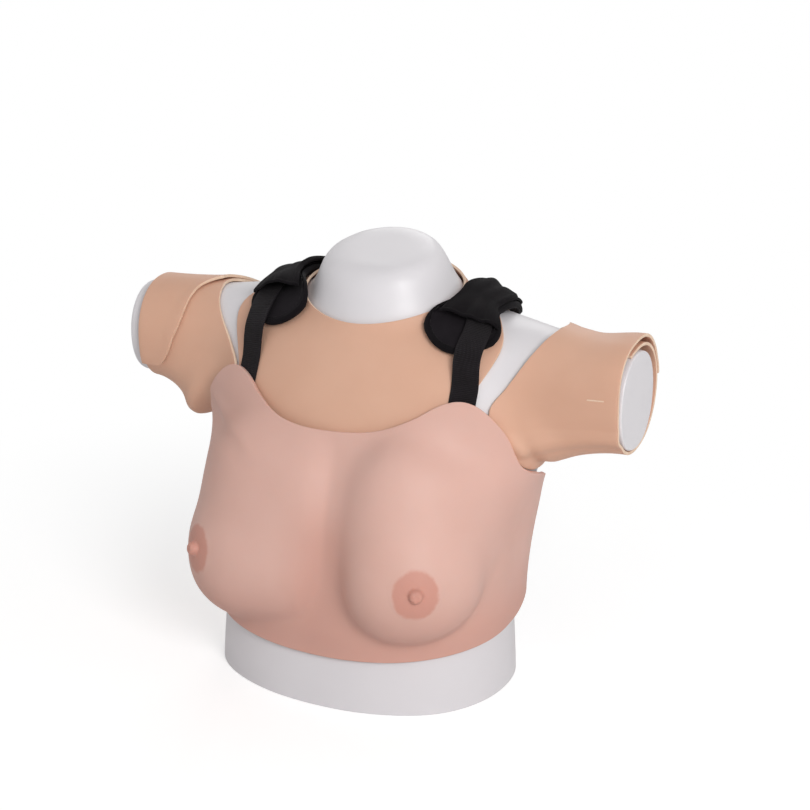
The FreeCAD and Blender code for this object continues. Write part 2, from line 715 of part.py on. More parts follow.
def pad_middle_x(angle):
    """The pads run a little inward over the shoulder."""
    return profile([(-90, size["strap_rear_x"] + 8), (-45, size["strap_top_x"] - 15),
                    (-10, size["strap_top_x"]), (20, size["strap_top_x"] - 2),
                    (45, size["pad_front_x"]), (70, size["pad_front_x"])])(angle)


def strap_middle_x(angle):
    """The straps leave the middle of the pads towards their feet."""
    aside = size["strap_front_x"] - size["pad_front_x"]
    return pad_middle_x(angle) + aside * step(*STRAP_ASIDE, angle)


def worn_x(side, out, angle):
    """Place across the body of what is out from the middle, with the harness shifted."""
    return side * out + size["harness_shift"] * step(*SHIFT_STARTS, angle)


def pad_half(along):
    """Half width of a pad, from its waist over the shoulder to its discs."""
    disc = size["pad_half_width"] if along > 0 else size["pad_rear_half_width"]
    waist = size["pad_waist_half_width"]
    return waist + (disc - waist) * step(0.25, 0.75, abs(along))


def pad_point(side, u, v, level):
    along, across = rounded(2 * u - 1, 2 * v - 1, PAD_OUTLINE_ROUNDING)
    front = size["pad_front_angle"]
    rear = size["pad_rear_angle"]
    angle = (front - rear) / 2 + (front + rear) / 2 * along
    x = worn_x(side, pad_middle_x(angle) + pad_half(along) * across, angle)
    return slice_point(dressed_distance, x, angle, level)


def cover_point(side, u, v, level):
    """A cover runs from edge to edge of its pad, between a front and a rear lip."""
    angle = -size["cover_rear_angle"] + (size["cover_front_angle"] + size["cover_rear_angle"]) * u
    front = size["pad_front_angle"]
    rear = size["pad_rear_angle"]
    along = (angle - (front - rear) / 2) / ((front + rear) / 2)
    corner = math.sqrt(1 - PAD_OUTLINE_ROUNDING / 2)
    edge = math.sqrt(1 - PAD_OUTLINE_ROUNDING / 2 * min(abs(along) / corner, 1) ** 2)
    aside = COVER_TOWARDS_STRAP * (strap_middle_x(angle) - pad_middle_x(angle))
    half = pad_half(along) * edge - COVER_INSIDE_PAD - aside
    x = worn_x(side, pad_middle_x(angle) + aside + half * (2 * v - 1), angle)
    return slice_point(dressed_distance, x, angle, level)


def shoulder_pad(name, side):
    def at(u, v, lift):
        return pad_point(side, u, v, pad_level + lift)
    shape = layer(lambda u, v: at(u, v, size["pad_thickness"]),
                  lambda u, v: at(u, v, 0), 12, 8)
    add_shape(name, shape)


def pad_cover(name, side, arch):
    def at(u, v, lift):
        across = abs(2 * v - 1)
        ridge = 1 - step(*COVER_EDGE_ZONE, across)
        level = pad_top + size["layer_gap"] + (cover_level - pad_top - size["layer_gap"]) * ridge
        level += arch * step(0.7, 1.0, u) * (1 - step(0.1, 0.9, across))
        return cover_point(side, u, v, level + lift)
    shape = layer(lambda u, v: at(u, v, size["cover_thickness"]),
                  lambda u, v: at(u, v, 0), 12, 14)
    add_shape(name, shape)


# The straight rear stretch of a strap: a frame at the ring, X across, Y up the strap, Z outward

middle_lift = size["ring_thickness"] / 2 + size["slide_clearance"] + size["strap_thickness"] / 2
ring_bar_y = size["ring_opening_height"] / 2 + size["ring_bar"] / 2


def back_point(x, z, level):
    return meet(dressed_distance, (x, trunk_middle(z), z), (0.0, 1.0, 0.0), level, FAR)


def rear_frame(side):
    """Placement at the ring, and the length up to where the straight stretch starts."""
    x = side * size["strap_rear_x"]
    half = size["strap_width"] / 2
    low = back_point(x, size["ring_level"], size["ring_standoff"])
    high = back_point(x, strap_free, strap_level + middle_lift
                      + size["strap_thickness"] / 2)
    up = high - low
    length = up.Length
    up.normalize()
    one = back_point(x - half, size["ring_level"] + length / 2, 0)
    other = back_point(x + half, size["ring_level"] + length / 2, 0)
    across = other - one
    across = across - up * across.dot(up)
    across.normalize()
    out = across.cross(up)
    if out.y < 0:
        across = across * -1
        out = across.cross(up)
    m = Matrix(across.x, up.x, out.x, low.x,
               across.y, up.y, out.y, low.y,
               across.z, up.z, out.z, low.z,
               0, 0, 0, 1)
    return Placement(m), length


def band(runs, width, thickness):
    """Webbing whose middle line is a chain of tangent runs in the Y-Z plane of a rear frame."""
    one = [run(thickness / 2) for run in runs]
    other = [run(-thickness / 2) for run in runs]
    start = Part.makeLine(one[0].Vertexes[0].Point, other[0].Vertexes[0].Point)
    finish = Part.makeLine(one[-1].Vertexes[-1].Point, other[-1].Vertexes[-1].Point)
    wire = Part.Wire(Part.__sortEdges__(one + other + [start, finish]))
    face = Part.Face(wire)
    face.translate(Vector(-width / 2, 0, 0))
    return face.extrude(Vector(width, 0, 0))


def straight(start, finish):
    """Straight run of a band, offset to its left by the given amount."""
    def run(offset):
        along = finish - start
        along.normalize()
        left = Vector(0, -along.z, along.y) * offset
        return Part.makeLine(start + left, finish + left)
    return run


def bend(middle, radius, from_angle, to_angle):
    """Arc run about middle, angles in degrees from +Y towards +Z."""
    inward = math.copysign(1.0, to_angle - from_angle)

    def at(r, angle):
        a = math.radians(angle)
        return middle + Vector(0, r * math.cos(a), r * math.sin(a))

    def run(offset):
        r = radius - inward * offset
        return Part.Arc(at(r, from_angle), at(r, (from_angle + to_angle) / 2),
                        at(r, to_angle)).toShape()
    return run


def width_share(side, middle, angle, level):
    """What is left of a width across the body once the slope of the body is allowed for."""
    half = size["strap_width"] / 2
    one = slice_point(dressed_distance, worn_x(side, middle - half, angle), angle, level)
    other = slice_point(dressed_distance, worn_x(side, middle + half, angle), angle, level)
    return size["strap_width"] / (other - one).Length


def angle_down_to(x, level, way):
    """Angle in the slice at x, towards the front or rear, where the body has come down to a level."""
    angle = 0
    while slice_point(dressed_distance, x, way * angle, 0).z > level:
        angle += 1
    return way * angle


# Shares of the strap from its foot to the straight stretch, and degrees below the pad
STRAP_SETTLE = (0.62, 0.96)
STRAP_TIGHTENS = (0.80, 0.995)
STRAP_OFF_PAD = (2, 16)
STRAP_RUN_PER_DEGREE = 1.9
STRAP_SPANS = 30
NEAR_SEAM = 0.1


def shoulder_strap(name, side):
    place, length = rear_frame(side)
    width = size["strap_width"]
    half = size["strap_thickness"] / 2

    def straight_point(y, across, lift):
        local = Vector(-side * across * width / 2, y, -middle_lift - half + lift)
        return place.multVec(local)

    foot_angle = angle_down_to(size["strap_front_x"], strap_foot, 1)
    rear_angle = angle_down_to(size["strap_rear_x"], strap_free, -1)
    rear_run = (foot_angle - rear_angle) * STRAP_RUN_PER_DEGREE

    def at(u, v, lift):
        angle = foot_angle + (rear_angle - foot_angle) * u
        across = 2 * v - 1
        middle = strap_middle_x(angle)
        middle += (size["strap_rear_x"] - middle) * step(*STRAP_SETTLE, u)
        off_pad = step(*STRAP_OFF_PAD, angle - size["pad_front_angle"])
        level = strap_level + (skin_rest - strap_level) * off_pad
        half_step = width / 2 * width_share(side, middle, angle, level)
        x = worn_x(side, middle + across * half_step, angle)
        soft = slice_point(dressed_distance, x, angle, level + lift)
        tight = straight_point(length + (1 - u) * rear_run, across, lift)
        return soft + (tight - soft) * step(*STRAP_TIGHTENS, u)

    over = layer_faces(lambda u, v: at(u, v, size["strap_thickness"]),
                       lambda u, v: at(u, v, 0), STRAP_SPANS, 3)
    low = Vector(0, 0, -middle_lift)
    high = Vector(0, 0, middle_lift)
    bar = Vector(0, ring_bar_y, 0)
    tail = Vector(0, ring_bar_y + size["tail_length"], 0)
    loop = band([straight(Vector(0, length, 0) + low, bar + low),
                 bend(bar, middle_lift, 270, 90),
                 straight(bar + high, tail + high)], width, size["strap_thickness"])
    loop.Placement = place
    seam = place.multVec(Vector(0, length, 0) + low)
    faces = [f for f in over + loop.Faces if (f.CenterOfMass - seam).Length > NEAR_SEAM]
    add_shape(name, solid_from(faces))


RING_LOOP_SEWN = 14


def tangent_to_bar(start, bar, way):
    """Where a run from start touches the webbing bend round a bar, and at which angle."""
    reach = start - bar
    spread = math.degrees(math.acos(middle_lift / reach.Length))
    angle = math.degrees(math.atan2(reach.z, reach.y)) % 360 + way * spread
    a = math.radians(angle)
    return bar + Vector(0, math.cos(a), math.sin(a)) * middle_lift, angle


def ring_loop(name, side):
    """Webbing loop that ties the ring to the belt."""
    place, _ = rear_frame(side)
    sewn_level = size["belt_level"] + size["belt_height"] - RING_LOOP_SEWN
    on_belt = size["layer_gap"] * 2 + size["belt_thickness"] + size["strap_thickness"] / 2
    foot = back_point(side * size["strap_rear_x"], sewn_level, on_belt)
    lower = place.inverse().multVec(foot)
    lower.x = 0
    upper = lower + Vector(0, 0, strap_lift)
    bar = Vector(0, -ring_bar_y, 0)
    lower_touch, from_angle = tangent_to_bar(lower, bar, 1)
    upper_touch, to_angle = tangent_to_bar(upper, bar, -1)
    loop = band([straight(lower, lower_touch),
                 bend(bar, middle_lift, from_angle, to_angle + 360),
                 straight(upper_touch, upper)], size["strap_width"], size["strap_thickness"])
    add_shape(name, loop, place)


# Moulded parts at the back: ring and slide

def rectangle(sketch, name, width, height):
    """Rectangle about the origin of a sketch, its sides bound to the sheet."""
    first = sketch.GeometryCount
    corners = [Vector(-10, -5, 0), Vector(10, -5, 0), Vector(10, 5, 0), Vector(-10, 5, 0)]
    for i in range(4):
        sketch.addGeometry(Part.LineSegment(corners[i], corners[(i + 1) % 4]), False)
    for i in range(4):
        sketch.addConstraint(Sketcher.Constraint("Coincident", first + i, 2, first + (i + 1) % 4, 1))
    for i, direction in enumerate(["Horizontal", "Vertical", "Horizontal", "Vertical"]):
        sketch.addConstraint(Sketcher.Constraint(direction, first + i))
    sketch.addConstraint(Sketcher.Constraint("Symmetric", first, 1, first + 1, 2, -1, 1))
    for axis, line, formula in (("DistanceX", 0, width), ("DistanceY", 1, height)):
        label = name + axis
        number = sketch.addConstraint(Sketcher.Constraint(axis, first + line, 1, first + line, 2, 10))
        sketch.renameConstraint(number, label)
        sketch.setExpression("Constraints." + label, formula)


def back_ring(name, side):
    body = doc.addObject("PartDesign::Body", name)
    body.Label = name
    sketch = body.newObject("Sketcher::SketchObject", name + "_outline")
    plane = [f for f in body.Origin.OriginFeatures if f.Role == "XY_Plane"][0]
    sketch.AttachmentSupport = (plane, [""])
    sketch.MapMode = "FlatFace"
    opening = "Sizes.strap_width + 2 * Sizes.slide_clearance"
    rectangle(sketch, "Outer", opening + " + 2 * Sizes.ring_bar",
              "Sizes.ring_opening_height + 2 * Sizes.ring_bar")
    rectangle(sketch, "Opening", opening, "Sizes.ring_opening_height")
    doc.recompute()
    pad = body.newObject("PartDesign::Pad", name + "_plate")
    pad.Profile = sketch
    pad.Midplane = True
    pad.setExpression("Length", "Sizes.ring_thickness")
    doc.recompute()
    inside = size["strap_width"] / 2 + size["slide_clearance"] + 0.1
    edges = []
    for i, edge in enumerate(pad.Shape.Edges):
        upright = edge.BoundBox.ZLength > 0.1
        if not (upright and abs(edge.CenterOfMass.x) < inside):
            edges.append("Edge%d" % (i + 1))
    rounding = body.newObject("PartDesign::Fillet", name + "_rounding")
    rounding.Base = (pad, edges)
    rounding.setExpression("Radius", "Sizes.ring_edge_radius")
    doc.recompute()
    body.Placement = rear_frame(side)[0]
    sub_parts.append(body)


def box(name, sizes, corner):
    """Box bound to the sheet: three sizes and its corner, as formulas."""
    item = doc.addObject("Part::Box", name)
    for side_name, formula in zip(("Length", "Width", "Height"), sizes):
        item.setExpression(side_name, formula)
    for axis, formula in zip("xyz", corner):
        item.setExpression("Placement.Base." + axis, formula)
    return item


def strap_slide(name, side):
    """Two slots one over the other, one for the strap and one for its returning tail."""
    slot_width = "(Sizes.strap_width + 2 * Sizes.slide_clearance)"
    slot = "(Sizes.strap_thickness + 2 * Sizes.slide_clearance)"
    middle = "(Sizes.ring_thickness / 2 + Sizes.slide_clearance + Sizes.strap_thickness / 2)"
    wide = slot_width + " + 2 * Sizes.slide_wall"
    high = "2 * %s + %s + 2 * Sizes.slide_wall" % (middle, slot)
    shell = box(name + "_shell", (wide, "Sizes.slide_length", high),
                ("-(%s) / 2" % wide, "-Sizes.slide_length / 2", "-(%s) / 2" % high))
    slots = []
    for label, sign in (("lower", "-1"), ("upper", "1")):
        slots.append(box(name + "_" + label,
                         (slot_width, "2 * Sizes.slide_length", slot),
                         ("-%s / 2" % slot_width, "-Sizes.slide_length",
                          "%s * %s - %s / 2" % (sign, middle, slot))))
    both = doc.addObject("Part::MultiFuse", name + "_slots")
    both.Shapes = slots
    cut = doc.addObject("Part::Cut", name)
    cut.Base = shell
    cut.Tool = both
    cut.Label = name
    doc.recompute()
    place = rear_frame(side)[0]
    shift = Placement(Vector(0, size["slide_height"], 0), Rotation())
    cut.Placement = place.multiply(shift)
    sub_parts.append(cut)


# Back belt: two elastic halves lapped at the middle of the back on hook and loop patches

BELT_START_LIFT = 1.4
BELT_START_ZONE = (112, 128)
BELT_RISE = (5, 0.5)
patch_step = size["patch_thickness"] + size["layer_gap"] / 2
belt_top = size["layer_gap"] + size["belt_thickness"]
lap_level = belt_top + 2 * patch_step + size["layer_gap"] / 2
lap_angle = math.degrees(math.asin(size["belt_overlap_x"] / size["rib_half_depth"]))


def belt_point(side, heading, v, level):
    z = size["belt_level"] + size["belt_height"] * v
    return level_point(dressed_distance, side * heading, z, level)


def belt_half(name, side, lifted):
    def at(u, v, lift):
        start = size["belt_start_angle"]
        heading = start + (180 + lap_angle - start) * u
        to_lap = 180 - lap_angle - heading
        raised = 1 - step(BELT_RISE[1], BELT_RISE[0], to_lap) if lifted else 0
        level = size["layer_gap"] + (lap_level - size["layer_gap"]) * raised
        level += BELT_START_LIFT * (1 - step(*BELT_START_ZONE, heading))
        return belt_point(side, heading, v, level + lift)
    shape = layer(lambda u, v: at(u, v, size["belt_thickness"]),
                  lambda u, v: at(u, v, 0), 24, 3)
    add_shape(name, shape)


def belt_patch(name, number):
    def at(u, v, lift):
        heading = 180 + (lap_angle - 2) * (2 * u - 1)
        level = belt_top + size["layer_gap"] / 2 + patch_step * number
        return belt_point(1, heading, 0.08 + 0.84 * v, level + lift)
    shape = layer(lambda u, v: at(u, v, size["patch_thickness"]),
                  lambda u, v: at(u, v, 0), 6, 3)
    add_shape(name, shape)


# Lumps and lymph nodes, and the inserts with a pocket round each

def lump(name, radii, place, ahead):
    """Sphere or ellipsoid: the first radius lies along the depth of the insert."""
    if len(radii) == 1:
        item = doc.addObject("Part::Sphere", name)
        item.setExpression("Radius", "Sizes." + radii[0])
    else:
        item = doc.addObject("Part::Ellipsoid", name)
        for number, alias in enumerate(radii, start=1):
            item.setExpression("Radius%d" % number, "Sizes." + alias)
    item.Label = name
    item.Placement = Placement(place, Rotation(Vector(0, 0, 1), ahead))
    sub_parts.append(item)
    return item


def pocket(item, radii):
    """The form of a lump, grown by the clearance about its middle."""
    least = min(size[alias] for alias in radii)
    scale = 1 + size["pocket_clearance"] / least
    middle = item.Placement.Base
    grow = Matrix()
    grow.move(middle * -1)
    grow.scale(scale, scale, scale)
    grow.move(middle)
    return item.Shape.transformGeometry(grow)


def breast_insert(side_name, side):
    insert = layer(lambda u, v: insert_face(insert_front, side, u, v),
                   lambda u, v: insert_face(insert_back, side, u, v), 12, 14)
    for kind, heading, above, share, radii in LUMPS:
        place, ahead = place_in_insert(side, heading, above, share)
        item = lump(kind + "_" + side_name, radii, place, ahead)
        doc.recompute()
        insert = insert.cut(pocket(item, radii))
    add_shape("breast_insert_" + side_name, insert.Solids[0])


# Build, check and write

display_torso()
chest_bib()
breast_skin()
sleeve("sleeve_right", -1, -25, 372, 484, size["sleeve_right_inset"], 2,
       size["sleeve_right_sag"], 0, -0.07, 0)
sleeve("sleeve_left", 1, 380, -20, -80, size["sleeve_left_inset"], size["sleeve_flare"],
       size["sleeve_left_sag"], size["sleeve_gape"], 0, LEFT_SLEEVE_TOP_BACK)
for side_name, side in SIDES:
    breast_insert(side_name, side)
    shoulder_pad("shoulder_pad_" + side_name, side)
    pad_cover("pad_cover_" + side_name, side, size["cover_arch_" + side_name])
    shoulder_strap("shoulder_strap_" + side_name, side)
    back_ring("back_ring_" + side_name, side)
    ring_loop("ring_loop_" + side_name, side)
    strap_slide("strap_slide_" + side_name, side)
    belt_half("back_belt_" + side_name, side, side < 0)
belt_patch("loop_patch", 0)
belt_patch("hook_patch", 1)

doc.recompute()
for item in doc.Objects:
    if "Invalid" in item.State or "Error" in item.State:
        raise ValueError("%s has not recomputed: %s" % (item.Label, item.State))
for item in sub_parts:
    shape = item.Shape
    if shape.isNull() or not shape.isValid() or len(shape.Solids) != 1:
        raise ValueError("%s is not one valid solid" % item.Label)
    if not all(shell.isClosed() for shell in shape.Shells):
        raise ValueError("%s is not closed" % item.Label)
for item in sub_parts:
    item.Shape.exportStep("parts/%s.step" % item.Label)
print("%d parts written" % len(sub_parts))
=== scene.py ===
import math

import bmesh
import bpy
import numpy as np
from mathutils import Matrix, Vector


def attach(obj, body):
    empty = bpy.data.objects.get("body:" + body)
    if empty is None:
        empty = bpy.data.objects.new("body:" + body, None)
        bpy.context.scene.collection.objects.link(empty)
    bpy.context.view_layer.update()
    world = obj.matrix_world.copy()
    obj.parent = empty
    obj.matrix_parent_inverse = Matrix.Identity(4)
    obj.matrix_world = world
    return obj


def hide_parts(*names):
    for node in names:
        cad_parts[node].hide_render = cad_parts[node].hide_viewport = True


# Breast examination trainer: white display torso, tan bib and sleeves, pink breast skin over
# inserts with lumps, black pads and straps. The forms below are worked out in millimetres and
# put in place in metres.

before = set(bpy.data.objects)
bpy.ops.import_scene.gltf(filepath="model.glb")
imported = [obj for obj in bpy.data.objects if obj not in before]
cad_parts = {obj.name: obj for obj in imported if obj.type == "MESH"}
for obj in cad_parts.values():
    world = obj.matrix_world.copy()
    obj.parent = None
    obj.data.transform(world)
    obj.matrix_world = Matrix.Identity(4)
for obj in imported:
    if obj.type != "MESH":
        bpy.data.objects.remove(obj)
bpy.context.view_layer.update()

MM = 0.001
SIDES = [("left", 1), ("right", -1)]


# Curves and distances, the same as the solids have

def curve(knots):
    """Smooth curve through (place, value) pairs, flat beyond its ends."""
    places = np.array([k[0] for k in knots], float)
    values = np.array([k[1] for k in knots], float)
    slopes = np.zeros(len(knots))
    slopes[1:-1] = (values[2:] - values[:-2]) / (places[2:] - places[:-2])

    def at(place):
        place = np.clip(place, places[0], places[-1])
        i = np.clip(np.searchsorted(places, place, side="right") - 1, 0, len(places) - 2)
        span = places[i + 1] - places[i]
        u = (place - places[i]) / span
        uu = u * u
        uuu = uu * u
        return ((2 * uuu - 3 * uu + 1) * values[i] + (uuu - 2 * uu + u) * span * slopes[i]
                + (3 * uu - 2 * uuu) * values[i + 1] + (uuu - uu) * span * slopes[i + 1])
    return at


def step(low, high, value):
    """Smooth step from 0 at low to 1 at high."""
    u = np.clip((value - low) / (high - low), 0.0, 1.0)
    return u * u * (3 - 2 * u)


def hump(middle, half, value):
    """Soft hump of height 1 about a middle."""
    return 1 - step(0, 1, np.abs(value - middle) / half)


def window(rise, fall, value):
    """Goes from 0 to 1 over the zone rise and back to 0 over the zone fall."""
    return step(*rise, value) * (1 - step(*fall, value))


def joined(a, b, k):
    """Distance to two bodies joined with a fillet about k wide."""
    h = np.maximum(k - np.abs(a - b), 0.0) / k
    return np.minimum(a, b) - h * h * h * k / 6


def trimmed(a, b, k):
    """Distance to what two bodies share, with a rounding about k wide."""
    return -joined(-a, -b, k)


def oval(a, b, half_a, half_b, squareness):
    """Distance to a rounded oval section."""
    q = (np.abs(a / half_a) ** squareness + np.abs(b / half_b) ** squareness) ** (1 / squareness)
    return np.hypot(a, b) * (1 - 1 / np.maximum(q, 1e-6))


def egg(x, y, z, half_x, half_y, half_z):
    """Distance to an ellipsoid about the origin."""
    k0 = np.sqrt((x / half_x) ** 2 + (y / half_y) ** 2 + (z / half_z) ** 2)
    k1 = np.sqrt((x / half_x ** 2) ** 2 + (y / half_y ** 2) ** 2 + (z / half_z ** 2) ** 2)
    return k0 * (k0 - 1) / np.maximum(k1, 1e-9)


# The body under the worn layers

SHOULDER_LEVEL = 276
SHOULDER_Y = 40
ARM_REACH = 241
RIB_HALF_DEPTH = 107
CHEST_HALF_DEPTH = 100
TRUNK_SQUARENESS = 2.3
TRUNK_TOP = 314
TRUNK_TOP_ROUNDING = 75
ARM_SQUARENESS = 2.15
ARM_FILLET = 50
NECK_Y = 46
NECK_LEVEL = 290
NECK_LEAN = math.radians(16)
NECK_HALF_WIDTH = 60
NECK_HALF_DEPTH = 59
NECK_TAPER = 0.0013
NECK_TAPER_ZONE = (-50.0, 150.0)
NECK_BELOW_ROOT = 30
NECK_LENGTH = 93
NECK_FILLET = 75
NECK_TOP_ROUNDING = 28
COLLAR_STANDOFF = 2.2
COLLAR_ZONE = (2, 24)

trunk_width = curve([(0, 136), (80, 131), (150, 135), (230, 151.5), (320, 138)])
trunk_depth = curve([(0, 108), (80, 105), (150, RIB_HALF_DEPTH), (230, CHEST_HALF_DEPTH),
                     (320, 86)])
trunk_middle = curve([(0, -4), (80, -1), (150, 8), (230, 22), (320, 36)])
arm_height = curve([(0, 59), (150, 50), (ARM_REACH, 42.5)])
arm_depth = curve([(0, 64), (150, 44), (ARM_REACH, 37)])
arm_level = curve([(0, SHOULDER_LEVEL), (150, SHOULDER_LEVEL), (ARM_REACH, SHOULDER_LEVEL + 3.5)])
arm_middle = curve([(0, SHOULDER_Y), (150, 30), (ARM_REACH, 18)])


def trunk_distance(x, y, z):
    wall = oval(x, y - trunk_middle(z), trunk_width(z), trunk_depth(z), TRUNK_SQUARENESS)
    return trimmed(wall, z - TRUNK_TOP, TRUNK_TOP_ROUNDING)


def arm_distance(x, y, z):
    out = np.abs(x)
    return oval(y - arm_middle(out), z - arm_level(out), arm_depth(out), arm_height(out),
                ARM_SQUARENESS)


def neck_distance(x, y, z):
    dy = y - NECK_Y
    dz = z - NECK_LEVEL
    along = dz * math.cos(NECK_LEAN) - dy * math.sin(NECK_LEAN)
    across = dy * math.cos(NECK_LEAN) + dz * math.sin(NECK_LEAN)
    taper = 1 - NECK_TAPER * np.clip(along, *NECK_TAPER_ZONE)
    wall = oval(x, across, NECK_HALF_WIDTH * taper, NECK_HALF_DEPTH * taper, 2)
    wall = trimmed(wall, -along - NECK_BELOW_ROOT, NECK_FILLET)
    return trimmed(wall, along - NECK_LENGTH, NECK_TOP_ROUNDING)


def body_distance(x, y, z):
    trunk_and_arms = joined(trunk_distance(x, y, z), arm_distance(x, y, z), ARM_FILLET)
    return joined(trunk_and_arms, neck_distance(x, y, z), NECK_FILLET)


def dressed_distance(x, y, z):
    """The body as worn layers feel it: the bib collar stands a little off the neck."""
    collar = 1 - step(*COLLAR_ZONE, neck_distance(x, y, z))
    return body_distance(x, y, z) - COLLAR_STANDOFF * collar


# The worn layers: thicknesses, the air between them, and how far out the straps run

LAYER_GAP = 0.6
BIB = 2.4
SLEEVE = 2.8
SKIN = 4.2
PAD = 6
COVER = 2.2
WEB = 1.6
WEB_WIDTH = 23
BELT = 2
PATCH = 1.2
SKIN_REST = BIB + 2 * LAYER_GAP
STRAP_LIFT = WEB + LAYER_GAP
STRAP_FRONT_X = 102.5
STRAP_TOP_X = 95
STRAP_REAR_X = 60


# The breast skin and what is under it. A breast is a lower form with a slope above it, and a
# zone is where one value goes over into another.

BREAST_TURN = math.radians(33)
BREAST_X = 77
BREAST_Y = -77
BREAST_LEVEL = 120
BREAST_HALF = (62, 57, 54)
SLOPE_HALF = (BREAST_HALF[0] * 0.93, BREAST_HALF[1] * 0.9, 82)
SLOPE_LEVEL = 166
SLOPE_BACK = 14
BREAST_BLEND = 45
VALLEY_X = 13
VALLEY_REACH = 95
VALLEY_FLOOR = 4
RIGHT_ZONE = (-25, 25)
RIGHT_DROOP = 8
RIGHT_DROOP_ZONE = (85, 150)
RIGHT_INWARD = 0.28
RIGHT_INWARD_ZONE = (-45, 0)
SKIN_HEM = 49
SKIN_WING = 114
HEM_STANDOFF = 1.2
HEM_ZONE = (2, 26)
WING_STANDOFF = 5
WING_ZONE = (0, 70)
WING_TOP_ZONE = (150, 200)
LOBE_ZONE = (230, 259)
CREASE_WIDTH = 12
SOFTNESS = 45
SOFT_ZONE = (95, 185)
SOFTNESS_LOST = 0.6
SOFTNESS_LOST_ZONE = (205, 250)


def leaned(x):
    """The valley between the breasts lies a little off the middle, towards +X."""
    return x - VALLEY_X * hump(0, VALLEY_REACH, x)


def breast_distance(x, y, z):
    """Both breasts. The right one hangs lower and reaches in towards the valley."""
    x = leaned(x)
    right = 1 - step(*RIGHT_ZONE, x)
    z = z + RIGHT_DROOP * right * (1 - step(*RIGHT_DROOP_ZONE, z))
    dx = np.hypot(x, VALLEY_FLOOR) - BREAST_X
    dx = dx * (1 - RIGHT_INWARD * right * (1 - step(*RIGHT_INWARD_ZONE, dx)))
    dy = y - BREAST_Y
    across = dx * math.cos(BREAST_TURN) + dy * math.sin(BREAST_TURN)
    ahead = dy * math.cos(BREAST_TURN) - dx * math.sin(BREAST_TURN)
    low = egg(across, ahead, z - BREAST_LEVEL, *BREAST_HALF)
    slope = egg(across, ahead - SLOPE_BACK, z - SLOPE_LEVEL, *SLOPE_HALF)
    return joined(low, slope, BREAST_BLEND)


def skin_standoff(y, z):
    """Height of the inside of the breast skin over the torso."""
    lobe = step(*LOBE_ZONE, z)
    wing = step(*WING_ZONE, y) * (1 - step(*WING_TOP_ZONE, z))
    hem = (1 - step(*HEM_ZONE, z - SKIN_HEM)) * (1 - wing)
    rest = SKIN_REST + STRAP_LIFT * lobe + WING_STANDOFF * wing
    return rest + (HEM_STANDOFF - SKIN_REST) * hem


def skin_inside(x, y, z):
    """The skin falls in a crisp crease under each breast and runs out softly above it."""
    lost = SOFTNESS_LOST * step(*SOFTNESS_LOST_ZONE, z)
    softness = SOFTNESS * step(*SOFT_ZONE, z) * (1 - lost)
    return joined(dressed_distance(x, y, z) - skin_standoff(y, z),
                  breast_distance(x, y, z) + SKIN, CREASE_WIDTH + softness)


def skin_outside(x, y, z):
    return skin_inside(x, y, z) - SKIN


# Points where a ray from inside the body meets a form

FAR = 420
HALVINGS = 20
ARM_RAY_POWER = 2.2
ARM_RAY_FAN = math.radians(55)
SLICE_LEVEL = SHOULDER_LEVEL - 14


def meet(distance, start, ray, level, far=FAR):
    """Points on rays from start where distance equals level."""
    sx, sy, sz = start
    rx, ry, rz = ray
    low = np.zeros(np.broadcast(sx, rx, ry, rz, level).shape)
    high = low + far
    for _ in range(HALVINGS):
        middle = (low + high) / 2
        inside = distance(sx + rx * middle, sy + ry * middle, sz + rz * middle) < level
        low = np.where(inside, middle, low)
        high = np.where(inside, high, middle)
    place = (low + high) / 2
    return np.stack([sx + rx * place, sy + ry * place, sz + rz * place], -1)


def arm_point(distance, along, round_angle, level):
    """Point of the tube from arm end to arm end: 0 degrees is the top and 90 the front."""
    out = np.abs(along)
    side = np.sign(along)
    start_x = ARM_REACH * out ** ARM_RAY_POWER
    tilt = ARM_RAY_FAN * np.sin(math.pi * np.minimum(out, 1.0))
    start = (side * start_x, arm_middle(start_x), arm_level(start_x))
    a = np.radians(round_angle)
    ray = (side * np.sin(tilt), -np.cos(tilt) * np.sin(a), np.cos(tilt) * np.cos(a))
    return meet(distance, start, ray, level)


def level_point(distance, heading, z, level=0):
    """Point at height z, heading degrees round from the front."""
    a = np.radians(heading)
    return meet(distance, (0.0, trunk_middle(z), z), (np.sin(a), -np.cos(a), 0 * a), level)


def slice_point(distance, x, angle, level):
    """Point in the upright slice at x, angle degrees from the top, forward positive."""
    a = np.radians(angle)
    start = (x, SHOULDER_Y, SLICE_LEVEL)
    return meet(distance, start, (0.0 * a, -np.sin(a), np.cos(a)), level)


def dome_point(distance, heading, from_top, level):
    """Point from the middle of the shoulders, heading round and from_top down, in degrees."""
    a = np.radians(heading)
    b = np.radians(from_top)
    ray = (np.sin(b) * np.sin(a), -np.sin(b) * np.cos(a), np.cos(b))
    return meet(distance, (0.0, SHOULDER_Y, SHOULDER_LEVEL), ray, level)


def rounded(a, b, share):
    """Square coordinates pulled in towards an oval outline."""
    return a * np.sqrt(1 - share * b * b / 2), b * np.sqrt(1 - share * a * a / 2)


# Mesh helpers

BODY_MIDDLE = Vector((0, 0.02, 0.2))


